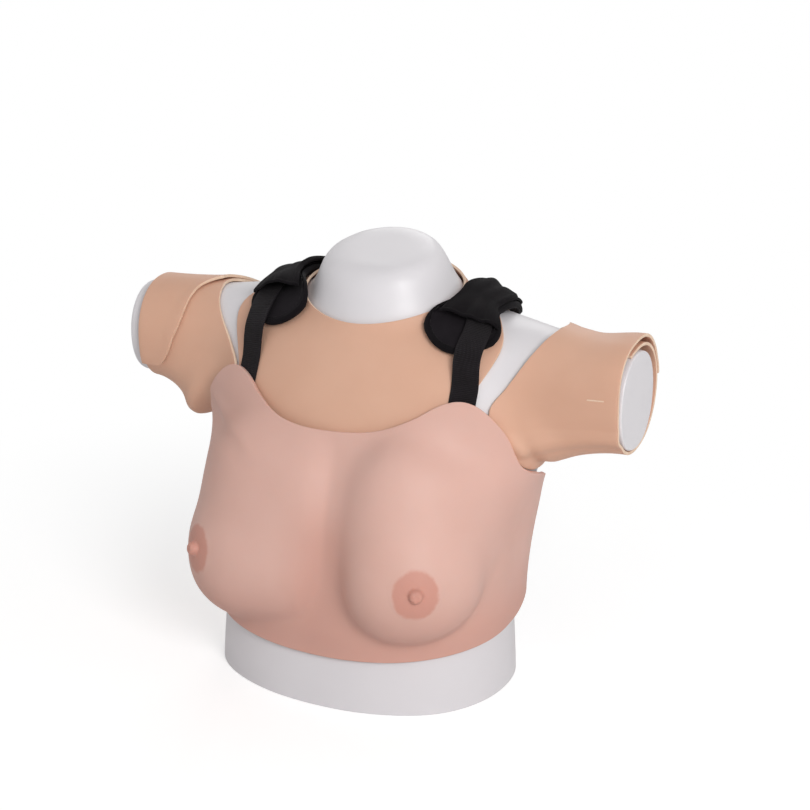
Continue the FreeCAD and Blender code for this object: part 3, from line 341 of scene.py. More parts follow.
def laid(point_at, spans_u, spans_v, flat, closed=False, middle=BODY_MIDDLE):
    """A grid laid on a form. point_at gives places in millimetres for shares u and v, and flat
    is the size in metres that the UV map stands for. Faces point away from the middle."""
    bm = bmesh.new()
    uv_map = bm.loops.layers.uv.new("UVMap")
    bmesh.ops.create_grid(bm, x_segments=spans_u, y_segments=spans_v, size=0.5, calc_uvs=True)
    for face in bm.faces:
        for loop in face.loops:
            loop[uv_map].uv.x *= flat[0]
            loop[uv_map].uv.y *= flat[1]
    shares = np.array([v.co for v in bm.verts])[:, :2] + 0.5
    places = point_at(shares[:, 0], shares[:, 1]) * MM
    for vert, place in zip(bm.verts, places):
        vert.co = place
    if closed:
        bmesh.ops.remove_doubles(bm, verts=bm.verts, dist=1e-6)
    bm.normal_update()
    outward = sum((f.calc_center_median() - middle).dot(f.normal) for f in bm.faces)
    if outward < 0:
        bmesh.ops.reverse_faces(bm, faces=bm.faces)
    return bm


def show(name, bm, finishes, stands_for=()):
    """The finished piece: smooth shaded, on the trainer's body, with its finishes."""
    for face in bm.faces:
        face.smooth = True
    mesh = bpy.data.meshes.new(name)
    bm.to_mesh(mesh)
    bm.free()
    piece = bpy.data.objects.new(name, mesh)
    bpy.context.scene.collection.objects.link(piece)
    for material in finishes:
        mesh.materials.append(material)
    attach(piece, "trainer")
    if stands_for:
        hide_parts(*stands_for)
    return piece


def thicken(piece, thickness, offset, edge_radius, segments=2, rim=0):
    """Wall thickness in millimetres, then rounded rims. Offset 1 grows outward, -1 inward and
    0 both ways, and rim 1 gives the rims the second finish."""
    wall = piece.modifiers.new("wall", "SOLIDIFY")
    wall.thickness = thickness * MM
    wall.offset = offset
    wall.use_even_offset = True
    wall.material_offset_rim = rim
    soft = piece.modifiers.new("rim", "BEVEL")
    soft.limit_method = "ANGLE"
    soft.angle_limit = math.radians(50)
    soft.width = edge_radius * MM
    soft.segments = segments


# Node groups: effects that several finishes share

def new_group(name, inputs, outputs):
    """Empty node group with named sockets: inputs are (name, kind, value)."""
    group = bpy.data.node_groups.new(name, "ShaderNodeTree")
    for label, kind, value in inputs:
        socket = group.interface.new_socket(label, in_out="INPUT", socket_type=kind)
        if value is not None:
            socket.default_value = value
    for label, kind in outputs:
        group.interface.new_socket(label, in_out="OUTPUT", socket_type=kind)
    return group, group.nodes.new("NodeGroupInput"), group.nodes.new("NodeGroupOutput")


def add(tree, kind, settings=None, **values):
    """Node with its settings, and input values by socket name."""
    node = tree.nodes.new(kind)
    for label, value in (settings or {}).items():
        setattr(node, label, value)
    for label, value in values.items():
        node.inputs[label.replace("_", " ")].default_value = value
    return node


def link(tree, *pairs):
    """Links each pair of an output and an input."""
    for source, target in pairs:
        tree.links.new(source, target)


def maths(tree, operation, one, other=None):
    """Math node of two sockets or numbers."""
    node = tree.nodes.new("ShaderNodeMath")
    node.operation = operation
    for socket, value in zip(node.inputs, (one, other)):
        if value is None:
            continue
        if isinstance(value, (int, float)):
            socket.default_value = value
        else:
            link(tree, (value, socket))
    return node.outputs[0]


def ramp(tree, value, start, end, to_start=0.0, to_end=1.0, shape="SMOOTHSTEP"):
    """The value taken from the range start to end into another range, and held at its ends."""
    node = add(tree, "ShaderNodeMapRange", {"interpolation_type": shape}, From_Min=start,
               From_Max=end, To_Min=to_start, To_Max=to_end)
    link(tree, (value, node.inputs["Value"]))
    return node.outputs[0]


def parts(tree, vector):
    """The three numbers of a vector."""
    node = tree.nodes.new("ShaderNodeSeparateXYZ")
    link(tree, (vector, node.inputs[0]))
    return node.outputs


def mottle_group():
    """A colour with slow cloudy variation."""
    group, given, result = new_group(
        "cloudy_colour",
        [("Vector", "NodeSocketVector", None), ("Light Colour", "NodeSocketColor", None),
         ("Dark Colour", "NodeSocketColor", None), ("Scale", "NodeSocketFloat", 12.0)],
        [("Color", "NodeSocketColor"), ("Cloud", "NodeSocketFloat")])
    noise = add(group, "ShaderNodeTexNoise", Detail=4.0, Roughness=0.55)
    cloud = ramp(group, noise.outputs[0], 0.32, 0.68)
    mix = add(group, "ShaderNodeMix", {"data_type": "RGBA"})
    link(group,
         (given.outputs["Vector"], noise.inputs["Vector"]),
         (given.outputs["Scale"], noise.inputs["Scale"]),
         (cloud, mix.inputs[0]),
         (given.outputs["Light Colour"], mix.inputs[6]),
         (given.outputs["Dark Colour"], mix.inputs[7]),
         (mix.outputs[2], result.inputs["Color"]),
         (cloud, result.inputs["Cloud"]))
    return group


def grain_group():
    """Fine moulded grain with slow waves under it, as a height."""
    group, given, result = new_group(
        "moulded_grain",
        [("Vector", "NodeSocketVector", None), ("Grain Scale", "NodeSocketFloat", 900.0),
         ("Wave Scale", "NodeSocketFloat", 45.0), ("Wave Share", "NodeSocketFloat", 0.5)],
        [("Height", "NodeSocketFloat")])
    fine = add(group, "ShaderNodeTexNoise", Detail=3.0, Roughness=0.6)
    slow = add(group, "ShaderNodeTexNoise", Detail=1.0)
    mix = add(group, "ShaderNodeMix", {"data_type": "FLOAT"})
    link(group,
         (given.outputs["Vector"], fine.inputs["Vector"]),
         (given.outputs["Vector"], slow.inputs["Vector"]),
         (given.outputs["Grain Scale"], fine.inputs["Scale"]),
         (given.outputs["Wave Scale"], slow.inputs["Scale"]),
         (given.outputs["Wave Share"], mix.inputs[0]),
         (fine.outputs[0], mix.inputs[2]),
         (slow.outputs[0], mix.inputs[3]),
         (mix.outputs[0], result.inputs["Height"]))
    return group


def weave_group():
    """Over and under threads on a UV map in metres: height, and a mask of the gaps."""
    group, given, result = new_group(
        "woven_threads",
        [("UV", "NodeSocketVector", None), ("Threads Across", "NodeSocketFloat", 1500.0),
         ("Threads Along", "NodeSocketFloat", 1500.0)],
        [("Height", "NodeSocketFloat"), ("Gap", "NodeSocketFloat")])
    u, v, _ = parts(group, given.outputs["UV"])
    waves = []
    for place, threads in ((u, "Threads Across"), (v, "Threads Along")):
        turns = maths(group, "MULTIPLY", place, given.outputs[threads])
        waves.append(maths(group, "SINE", maths(group, "MULTIPLY", turns, 2 * math.pi)))
    height = maths(group, "MAXIMUM", maths(group, "MULTIPLY", *waves),
                   maths(group, "MULTIPLY", maths(group, "ADD", *waves), 0.35))
    gap = maths(group, "LESS_THAN", height, -0.2)
    link(group, (height, result.inputs["Height"]), (gap, result.inputs["Gap"]))
    return group


CLOUDY = mottle_group()
GRAIN = grain_group()
WEAVE = weave_group()


# Finishes

def finish(name, roughness, specular=0.5, sheen=0.0, soft=0.0):
    """Material with a Principled shader, its fixed numbers set on the shader itself."""
    material = bpy.data.materials.new(name)
    material.use_nodes = True
    tree = material.node_tree
    shader = tree.nodes["Principled BSDF"]
    for label, value in [("Roughness", roughness), ("Specular IOR Level", specular),
                         ("Sheen Weight", sheen), ("Sheen Roughness", 0.6),
                         ("Subsurface Weight", soft), ("Subsurface Scale", 0.004),
                         ("Subsurface Radius", (1.0, 0.45, 0.3))]:
        shader.inputs[label].default_value = value
    place = tree.nodes.new("ShaderNodeTexCoord")
    return material, tree, shader, place


def group_node(tree, group, **values):
    return add(tree, "ShaderNodeGroup", {"node_tree": group}, **values)


def clouded(tree, shader, place, light, dark, scale):
    """Cloudy colour into the shader's Base Color; gives the cloud as a number."""
    node = group_node(tree, CLOUDY, Light_Colour=(*light, 1), Dark_Colour=(*dark, 1), Scale=scale)
    link(tree, (place.outputs["Object"], node.inputs["Vector"]),
         (node.outputs["Color"], shader.inputs["Base Color"]))
    return node.outputs["Cloud"]


def bumped(tree, shader, height, distance):
    node = add(tree, "ShaderNodeBump", Distance=distance, Strength=1.0)
    link(tree, (height, node.inputs["Height"]), (node.outputs["Normal"], shader.inputs["Normal"]))


def grained(tree, shader, place, grain, wave, wave_share, depth):
    """Moulded grain into the shader's Normal."""
    node = group_node(tree, GRAIN, Grain_Scale=grain, Wave_Scale=wave, Wave_Share=wave_share)
    link(tree, (place.outputs["Object"], node.inputs["Vector"]))
    bumped(tree, shader, node.outputs["Height"], depth)


def varied_roughness(tree, shader, driver, low, high):
    link(tree, (ramp(tree, driver, 0.0, 1.0, low, high, "LINEAR"), shader.inputs["Roughness"]))


def moulded(name, light, dark, scale, rough, grain, wave, depth, **shader_values):
    """Moulded plastic or elastomer: cloudy colour, fine grain, roughness that follows the cloud."""
    material, tree, shader, place = finish(name, rough[0], **shader_values)
    cloud = clouded(tree, shader, place, light, dark, scale)
    varied_roughness(tree, shader, cloud, *rough)
    grained(tree, shader, place, grain, wave, 0.7, depth)
    return material


def tinted(tree, shader, mask, colour):
    """Lays a second colour over what feeds Base Color, by a mask."""
    under = shader.inputs["Base Color"].links[0].from_socket
    mix = add(tree, "ShaderNodeMix", {"data_type": "RGBA"})
    mix.inputs[7].default_value = (*colour, 1)
    link(tree, (mask, mix.inputs[0]), (under, mix.inputs[6]),
         (mix.outputs[2], shader.inputs["Base Color"]))


def woven(name, light, dark, across, along, depth, rough, sheen):
    """Cloth on the piece's UV map in metres."""
    material, tree, shader, place = finish(name, rough, specular=0.08, sheen=sheen)
    clouded(tree, shader, place, light, dark, 60.0)
    threads = group_node(tree, WEAVE, Threads_Across=across, Threads_Along=along)
    link(tree, (place.outputs["UV"], threads.inputs["UV"]))
    # The gaps between the threads are darkened: painted shade
    tinted(tree, shader, threads.outputs["Gap"], tuple(c * 0.45 for c in dark))
    bumped(tree, shader, threads.outputs["Height"], depth)
    return material


torso_white = moulded("torso_white", (0.73, 0.705, 0.725), (0.70, 0.675, 0.695), 7.0,
                      (0.34, 0.42), 1400.0, 16.0, 0.0001, specular=0.45)
tan_elastomer = moulded("tan_elastomer", (0.70, 0.42, 0.30), (0.66, 0.385, 0.27), 9.0,
                        (0.50, 0.58), 1100.0, 30.0, 0.00012, specular=0.35, soft=0.06)
# Paler colour on the rims of the tan sheets and on the slits: painted highlight along the cut edges
tan_edge_highlight = moulded("tan_edge_highlight", (0.83, 0.64, 0.49), (0.74, 0.53, 0.39), 90.0,
                       (0.6, 0.7), 1500.0, 90.0, 0.0001, specular=0.3)
black_cloth = woven("black_cloth", (0.0065, 0.005, 0.006), (0.0045, 0.0035, 0.0045),
                    1400.0, 1400.0, 0.00008, 0.85, 0.01)
pad_cloth = woven("pad_cloth", (0.012, 0.0095, 0.012), (0.009, 0.007, 0.009),
                  1100.0, 1100.0, 0.00008, 0.8, 0.02)
binding_cloth = woven("binding_cloth", (0.006, 0.0045, 0.006), (0.004, 0.003, 0.004),
                      1800.0, 900.0, 0.0001, 0.85, 0.02)
black_thread = moulded("black_thread", (0.011, 0.009, 0.010), (0.007, 0.006, 0.007), 300.0,
                       (0.6, 0.7), 3000.0, 900.0, 0.0001, specular=0.2)
moulded_black = moulded("moulded_black", (0.022, 0.022, 0.023), (0.016, 0.016, 0.017), 40.0,
                        (0.34, 0.46), 2200.0, 120.0, 0.00008, specular=0.5)
insert_gel = moulded("insert_gel", (0.74, 0.54, 0.45), (0.70, 0.49, 0.40), 25.0,
                     (0.35, 0.45), 1200.0, 60.0, 0.0001, soft=0.15)
lump_silicone = moulded("lump_silicone", (0.80, 0.76, 0.68), (0.72, 0.67, 0.58), 220.0,
                        (0.45, 0.55), 1800.0, 300.0, 0.0002)


SELVEDGE = 1.7
WARP_PER_METRE = 1100


def webbing_finish(name, light, dark, ribs_per_metre, depth):
    """Webbing with cross ribs along U, fine warp threads and a plain selvedge."""
    material, tree, shader, place = finish(name, 0.75, specular=0.15, sheen=0.02)
    clouded(tree, shader, place, light, dark, 80.0)
    along, across, _ = parts(tree, place.outputs["UV"])
    rib = maths(tree, "SINE", maths(tree, "MULTIPLY", along, ribs_per_metre * 2 * math.pi))
    warp = maths(tree, "SINE", maths(tree, "MULTIPLY", across, WARP_PER_METRE * 2 * math.pi))
    half = WEB_WIDTH * MM / 2
    off_middle = maths(tree, "ABSOLUTE", maths(tree, "SUBTRACT", across, half))
    field = maths(tree, "LESS_THAN", off_middle, half - SELVEDGE * MM)
    height = maths(tree, "ADD", maths(tree, "MULTIPLY", rib, field),
                   maths(tree, "MULTIPLY", warp, 0.3))
    shade = ramp(tree, rib, -1.0, 0.4, 0.75, 0.0, "LINEAR")
    tinted(tree, shader, shade, tuple(c * 0.3 for c in dark))
    bumped(tree, shader, height, depth)
    return material


webbing = webbing_finish("webbing", (0.014, 0.011, 0.0135), (0.010, 0.0075, 0.009), 560.0, 0.0003)
elastic = webbing_finish("elastic_band", (0.014, 0.012, 0.014), (0.010, 0.008, 0.010), 420.0,
                         0.0003)


# Breast skin with areolae

def unit(v):
    return v / np.linalg.norm(v)


NIPPLE_LIFT = 0.12


def nipple_place(side):
    """Point of the breast farthest along its outward direction, and that direction."""
    ahead = unit(np.array([side * math.sin(BREAST_TURN), -math.cos(BREAST_TURN), NIPPLE_LIFT]))
    start = np.array([side * BREAST_X, BREAST_Y, BREAST_LEVEL + 4.0])
    tip = meet(skin_outside, tuple(start), tuple(ahead), 0, 120)
    return tip, ahead


LEFT_TIP = nipple_place(1)[0] * MM
RIGHT_TIP_DROP = float(LEFT_TIP[2] - nipple_place(-1)[0][2] * MM)
AREOLA_RADIUS = 0.0205
AREOLA_EDGE = (-0.0030, 0.0010)
AREOLA_UNEVEN = 0.004
AREOLA_STRETCH = (1.0, 1.0, 0.90)
AREOLA_TINT = (0.585, 0.275, 0.215)
# Painted shade on the skin: darker and redder low down under the breasts and in the valley between
# them
LOW_PAINTED_SHADE = (0.60, 0.32, 0.26)
LOW_PAINTED_SHADE_FROM = (0.130, 0.060)
VALLEY_PAINTED_SHADE = (0.60, 0.335, 0.275)
VALLEY_PAINTED_SHADE_ASIDE = (0.045, 0.004)
VALLEY_PAINTED_SHADE_FROM = (0.205, 0.150)


def skin_finish():
    """Pink elastomer with painted shade, darker and redder low down and in the valley, and the
    areola's tint round each nipple."""
    material, tree, shader, place = finish("pink_elastomer", 0.52, specular=0.24, soft=0.14)
    cloud = clouded(tree, shader, place, (0.70, 0.44, 0.375), (0.66, 0.405, 0.34), 8.0)
    varied_roughness(tree, shader, cloud, 0.47, 0.57)
    x, y, z = parts(tree, place.outputs["Object"])
    # Painted shade: darker, redder skin low down, under the breasts
    tinted(tree, shader, ramp(tree, z, *LOW_PAINTED_SHADE_FROM, 0.0, 0.7), LOW_PAINTED_SHADE)
    # Painted shade: darker, redder skin in the valley between the breasts
    off_valley = maths(tree, "ABSOLUTE", maths(tree, "SUBTRACT", x, VALLEY_X * MM))
    valley = maths(tree, "MULTIPLY", ramp(tree, off_valley, *VALLEY_PAINTED_SHADE_ASIDE, 0.0, 0.8),
                   ramp(tree, z, *VALLEY_PAINTED_SHADE_FROM))
    tinted(tree, shader, valley, VALLEY_PAINTED_SHADE)
    right = maths(tree, "LESS_THAN", x, 0.0)
    level = maths(tree, "ADD", z, maths(tree, "MULTIPLY", right, RIGHT_TIP_DROP))
    join = tree.nodes.new("ShaderNodeCombineXYZ")
    for axis, value in enumerate([maths(tree, "ABSOLUTE", x), y, level]):
        value = maths(tree, "SUBTRACT", value, float(LEFT_TIP[axis]))
        value = maths(tree, "MULTIPLY", value, AREOLA_STRETCH[axis])
        link(tree, (value, join.inputs[axis]))
    far = add(tree, "ShaderNodeVectorMath", {"operation": "LENGTH"})
    uneven = add(tree, "ShaderNodeTexNoise", Scale=130.0, Detail=2.0)
    link(tree, (join.outputs[0], far.inputs[0]), (place.outputs["Object"], uneven.inputs["Vector"]))
    shift = maths(tree, "SUBTRACT", uneven.outputs[0], 0.5)
    shift = maths(tree, "MULTIPLY", shift, AREOLA_UNEVEN)
    edge = ramp(tree, maths(tree, "ADD", far.outputs["Value"], shift),
                AREOLA_RADIUS + AREOLA_EDGE[0], AREOLA_RADIUS + AREOLA_EDGE[1], 0.85, 0.0)
    tinted(tree, shader, edge, AREOLA_TINT)
    grained(tree, shader, place, 1000.0, 28.0, 0.75, 0.00014)
    return material


pink_elastomer = skin_finish()

NECKLINE = SHOULDER_LEVEL - 31
LOBE_TOP = SHOULDER_LEVEL + 1
SIDE_TOP = SHOULDER_LEVEL - 78
LOBE_ANGLE = math.degrees(math.atan2(STRAP_FRONT_X + 0.5, CHEST_HALF_DEPTH - 28))
SKIN_ROUNDING = 1.3
skin_top_edge = curve([(0, NECKLINE), (21, NECKLINE + 4), (38, LOBE_TOP - 15),
                       (LOBE_ANGLE - 7, LOBE_TOP - 3), (LOBE_ANGLE, LOBE_TOP),
                       (LOBE_ANGLE + 6, LOBE_TOP - 7), (LOBE_ANGLE + 13, LOBE_TOP - 28),
                       (76, SIDE_TOP + 20), (90, SIDE_TOP + 2), (102, SIDE_TOP - 9),
                       (SKIN_WING, SIDE_TOP - 30)])
skin_hem_edge = curve([(0, SKIN_HEM), (35, SKIN_HEM + 2), (65, SKIN_HEM + 7),
                       (95, SKIN_HEM + 12), (SKIN_WING, SKIN_HEM + 24)])
armpit_fold_level = curve([(-70, 243), (-65, 238), (-52, 234), (-35, 232), (-22, 219)])


def armpit_fold(heading, z):
    """Soft fold that runs down from the right armpit over the breast: a ridge over a dip."""
    off = z - armpit_fold_level(heading)
    return window((-74, -62), (-40, -18), heading) * (1.5 * hump(3, 9, off) - hump(-9, 10, off))


def breast_skin():
    def at(u, v):
        heading = SKIN_WING * (2 * u - 1)
        low = skin_hem_edge(np.abs(heading))
        z = low + (skin_top_edge(np.abs(heading)) - low) * v
        return level_point(skin_outside, heading, z, armpit_fold(heading, z))

    piece = show("breast_skin_cover", laid(at, 230, 120, (0.62, 0.21)),
                 [pink_elastomer], ["breast_skin"])
    thicken(piece, SKIN, -1, SKIN_ROUNDING, 3)


# Radius and height of the areola and nipple, from the tip out to where they sink into the skin
NIPPLE_FORM = [(0, 6.7), (1.2, 6.75), (2.6, 6.9), (3.8, 6.6), (4.8, 5.8), (5.5, 4.6), (5.9, 3.2),
               (6.3, 1.9), (7.1, 1.0), (8.4, 0.75), (11, 0.7), (14, 0.65), (17, 0.55),
               (20, 0.35), (23, 0.05), (26, -0.6)]
BUMP_RING = 13.5
BUMP_HEIGHT = 0.35
BUMP_ANGLES = np.arange(9) * 0.72 + 0.3


def areola(side_name, side):
    tip, ahead = nipple_place(side)
    across = unit(np.cross([0, 0, 1], ahead))
    up = np.cross(ahead, across)
    shares = np.linspace(0, 1, len(NIPPLE_FORM))
    radius_at = curve(list(zip(shares, [r for r, _ in NIPPLE_FORM])))
    height_at = curve(list(zip(shares, [h for _, h in NIPPLE_FORM])))

    def at(u, v):
        angle = 2 * math.pi * v
        radius = radius_at(u)
        crinkle = 0.10 * np.sin(7 * angle + 1.3) + 0.07 * np.sin(11 * angle + radius)
        radius = radius * (1 + 0.03 * np.sin(3 * angle + 0.6) * step(0.2, 0.5, u))
        across_tip = radius * np.cos(angle)
        up_tip = radius * np.sin(angle)
        bumps = sum(hump(0, 1.3, np.hypot(across_tip - BUMP_RING * math.cos(a),
                                          up_tip - BUMP_RING * math.sin(a)))
                    for a in BUMP_ANGLES)
        height = height_at(u) + crinkle * hump(7, 6, radius) + BUMP_HEIGHT * bumps
        height = height + 0.15 * np.sin(5 * angle) * hump(2.4, 2.2, radius)
        inner = tip - ahead * 40
        start = [inner[i] + across_tip * across[i] + up_tip * up[i] for i in range(3)]
        base = meet(skin_outside, start, tuple(ahead), 0, 90)
        return base + height[:, None] * ahead

    bm = laid(at, 60, 96, (0.06, 0.1), True, Vector(tip * MM - ahead * 0.03))
    show("areola_" + side_name, bm, [pink_elastomer])


# Chest bib

SHEET_ROUNDING = 0.35
bib_neck_edge = curve([(0, 56), (50, 51), (90, 43), (140, 34), (180, 32)])
bib_outer_edge = curve([(0, 118), (30, 113), (46, 101.5), (58, 87.5), (68, 76), (78, 66), (92, 60),
                        (112, 64), (140, 87), (180, 104)])


def chest_bib():
    def at(u, v):
        heading = 360 * v
        fold = np.minimum(heading, 360 - heading)
        inner = bib_neck_edge(fold)
        from_top = inner + (bib_outer_edge(fold) - inner) * u
        return dome_point(dressed_distance, heading, from_top, LAYER_GAP)

    piece = show("bib_cover", laid(at, 44, 220, (0.12, 0.8), True),
                 [tan_elastomer, tan_edge_highlight], ["chest_bib"])
    thicken(piece, BIB, 1, SHEET_ROUNDING, rim=1)


# Sleeves

sleeve_inner_edge = curve([(0, 0.72), (36, 0.66), (60, 0.59), (80, 0.51), (100, 0.41),
                           (135, 0.44), (180, 0.49), (225, 0.47), (270, 0.44), (310, 0.58),
                           (360, 0.72)])

# Share across the strip and angle round the arm of the edge that laps over the start
RIGHT_LAP = curve([(0, 367), (0.10, 370), (0.36, 385), (0.5, 401), (0.68, 425), (0.82, 449),
                   (0.90, 478), (0.93, 482), (1, 484)])
LEFT_LAP = curve([(0, -20), (0.3, -35), (0.7, -65), (0.88, -80), (1, -80)])

# A slit shows as a thin light line in the paler edge colour, a painted highlight: its width is in
# degrees round the arm
SLIT_WIDTH = 1.5
SLIT_THICKNESS = 0.35
SLIT_LIFT = SLEEVE - 0.15

# Angles round the arm, from its top over its front, and angles turned along the strip
ARM_FRONT = ((30, 90), (110, 150))
ARM_UNDERSIDE = ((90, 160), (190, 260))
ARM_TOP_ZONE = (20, 60)
LAP_ZONE = (285, 350)
GAPE_ENDS_ZONE = (395, 450)
FLARE_ANGLE = -80
ARMPIT_ANGLE = 127


def sleeve(side_name, side, start_angle, lap_edge, inset, flare, sag, gape, chest_shift,
           top_shift, fold, slit):
    """Strip wrapped from start_angle to its lap edge. flare lifts the rear of its open end, sag
    its underside, gape its lap and fold its armpit. chest_shift and top_shift move its inner edge.
    slit gives the shares across the strip and the angles of the two ends of a cut."""
    outer_end = (1 - inset / ARM_REACH) ** (1 / ARM_RAY_POWER)

    def place(angle, v, lift):
        turned = np.abs(angle - start_angle)
        angle_now = angle % 360
        front = window(*ARM_FRONT, angle_now)
        upper = 1 - step(*ARM_TOP_ZONE, np.minimum(angle_now, 360 - angle_now))
        inner_end = sleeve_inner_edge(angle_now) + chest_shift * front + top_shift * upper
        along = inner_end + (outer_end - inner_end) * v
        outer = step(0.5, 1.0, v)
        gaping = gape * outer * (1 - step(*GAPE_ENDS_ZONE, turned))
        level = LAYER_GAP + (SLEEVE + LAYER_GAP + gaping) * step(*LAP_ZONE, turned)
        rearward = np.maximum(np.cos(np.radians(angle - FLARE_ANGLE)), 0) ** 1.5
        level = level + flare * outer * rearward
        under = window(*ARM_UNDERSIDE, angle_now) * window((0.08, 0.5), (0.55, 1.0), v)
        level = level + sag * under
        at_armpit = hump(ARMPIT_ANGLE, 14, angle_now) * step(0.0, 0.12, v) * (1 - 0.5 * v)
        level = level + fold * at_armpit
        return arm_point(body_distance, side * along, angle, level + lift)

    def at(u, v):
        return place(start_angle + (lap_edge(v) - start_angle) * u, v, step(0.95, 1.0, u))

    def slit_at(u, v):
        across = slit[0][0] + (slit[1][0] - slit[0][0]) * u
        angle = slit[0][1] + (slit[1][1] - slit[0][1]) * u
        return place(angle + (v - 0.5) * SLIT_WIDTH, across, SLIT_LIFT)

    middle = Vector((side * 0.2, 0.03, SHOULDER_LEVEL * MM))
    piece = show("sleeve_cover_" + side_name, laid(at, 190, 56, (0.42, 0.11), middle=middle),
                 [tan_elastomer, tan_edge_highlight], ["sleeve_" + side_name])
    thicken(piece, SLEEVE, 1, SHEET_ROUNDING, rim=1)
    mark = show("sleeve_slit_" + side_name,
                laid(slit_at, 16, 2, (0.017, 0.001), middle=middle),
                [tan_edge_highlight])
    thicken(mark, SLIT_THICKNESS, 1, 0.1)


# Shoulder pads and covers

PAD_LEVEL = LAYER_GAP + BIB + LAYER_GAP
PAD_TOP = PAD_LEVEL + PAD
STRAP_LEVEL = PAD_TOP + LAYER_GAP
COVER_LEVEL = STRAP_LEVEL + WEB + LAYER_GAP
PAD_FRONT = 54
PAD_REAR = 58
PAD_WAIST_HALF = 18
PAD_FRONT_HALF = 37
PAD_REAR_HALF = 24
PAD_FRONT_X = 86.5
PAD_ROUNDING = 0.72
PAD_CORNER = math.sqrt(1 - PAD_ROUNDING / 2)
COVER_FRONT = 33
COVER_REAR = 40
COVER_INSIDE_PAD = 0.8
COVER_TOWARDS_STRAP = 0.3
COVER_EDGE_ZONE = (0.85, 0.99)
LIP_ZONE = (0.70, 1.0)
ARCH_ZONE = (0.1, 0.9)
PAD_CROWN = 0.4
PAD_SEAM = 0.9
BINDING_INSET = 1.9
BINDING_RADIUS = 2.9
STITCH_INSET = 5.6
STITCHES = 110
STITCH_SHARE = 0.6
STITCH_SINK = 0.15
THREAD_RADIUS = 0.28
HARNESS_SHIFT = 6
HARNESS_ZONE = (5, 45)
pad_middle_x = curve([(-90, STRAP_REAR_X + 8), (-45, STRAP_TOP_X - 15), (-10, STRAP_TOP_X),
                      (20, STRAP_TOP_X - 2), (45, PAD_FRONT_X), (70, PAD_FRONT_X)])


def worn_x(side, out, angle):
    """Place across the body of what is out from the middle, with the harness shifted."""
    return side * out + HARNESS_SHIFT * step(*HARNESS_ZONE, angle)


def strap_middle_x(angle):
    """The straps leave the middle of the pads towards their feet."""
    return pad_middle_x(angle) + (STRAP_FRONT_X - PAD_FRONT_X) * step(*HARNESS_ZONE, angle)


def pad_half(along):
    """Half width of a pad, from its waist over the shoulder to its discs."""
    disc = np.where(along > 0, PAD_FRONT_HALF, PAD_REAR_HALF)
    return PAD_WAIST_HALF + (disc - PAD_WAIST_HALF) * step(0.25, 0.75, np.abs(along))


def pad_place(side, u, v, level, inset=0):
    along, across = rounded(2 * u - 1, 2 * v - 1, PAD_ROUNDING)
    angle = (PAD_FRONT - PAD_REAR) / 2 + ((PAD_FRONT + PAD_REAR) / 2 - inset / 2) * along
    x = worn_x(side, pad_middle_x(angle) + (pad_half(along) - inset) * across, angle)
    return slice_point(dressed_distance, x, angle, level)


def cover_place(side, angle, across, level):
    """A cover runs from edge to edge of its pad."""
    along = (angle - (PAD_FRONT - PAD_REAR) / 2) / ((PAD_FRONT + PAD_REAR) / 2)
    edge = np.sqrt(1 - PAD_ROUNDING / 2 * np.minimum(np.abs(along) / PAD_CORNER, 1) ** 2)
    aside = COVER_TOWARDS_STRAP * (strap_middle_x(angle) - pad_middle_x(angle))
    half = pad_half(along) * edge - COVER_INSIDE_PAD - aside
    x = worn_x(side, pad_middle_x(angle) + aside + half * across, angle)
    return slice_point(dressed_distance, x, angle, level)


def shoulder_pad(side_name, side):
    def at(u, v):
        crown = 1 - np.maximum(np.abs(2 * u - 1) ** 6, np.abs(2 * v - 1) ** 4)
        return pad_place(side, u, v, PAD_LEVEL + PAD_CROWN * crown, 0.6)

    piece = show("shoulder_pad_cushion_" + side_name, laid(at, 90, 40, (0.20, 0.06)),
                 [pad_cloth], ["shoulder_pad_" + side_name])
    thicken(piece, PAD - PAD_SEAM, 1, 2.2, 5)


# Folds of the covers by side, with places across and along as shares. A wave runs out of the
# front lip: height, middle and half width. A ridge runs along: height, middle, how much the
# middle shifts along, half width, and middle and half length along.
COVER_WAVES = {1: [(2.0, -0.55, 0.40), (1.6, 0.10, 0.30), (2.4, 0.72, 0.30)],
               -1: [(0.8, 0.45, 0.45)]}
COVER_RIDGES = {1: [(3.6, -0.49, 0.3, 0.55, 0.36, 0.36), (2.6, 0.41, -0.2, 0.55, 0.46, 0.36)],
                -1: [(0.9, 0.55, -0.9, 0.45, 0.55, 0.45)]}


def cover_folds(side, u, across, arch):
    """How far a cover stands off the strap in its soft folds and at its front lip."""
    lip = arch * (1 - step(*ARCH_ZONE, np.abs(across)))
    for height, middle, half in COVER_WAVES[side]:
        lip = lip + height * hump(middle, half, across)
    folds = lip * step(*LIP_ZONE, u)
    for height, middle, shift, half, along, half_length in COVER_RIDGES[side]:
        ridge = hump(middle + shift * u, half, across) * hump(along, half_length, u)
        folds = folds + height * ridge
    return folds


def cover_height(side, u, across, arch):
    off_strap = 0.5 * (1 - step(0, 0.34, u)) * step(0, 0.2, across)
    over_strap = 1 - step(*COVER_EDGE_ZONE, np.abs(across) + off_strap)
    level = STRAP_LEVEL + (COVER_LEVEL - STRAP_LEVEL) * over_strap
    return level + cover_folds(side, u, across, arch) * (1 - 0.6 * step(0.7, 1.0, np.abs(across)))


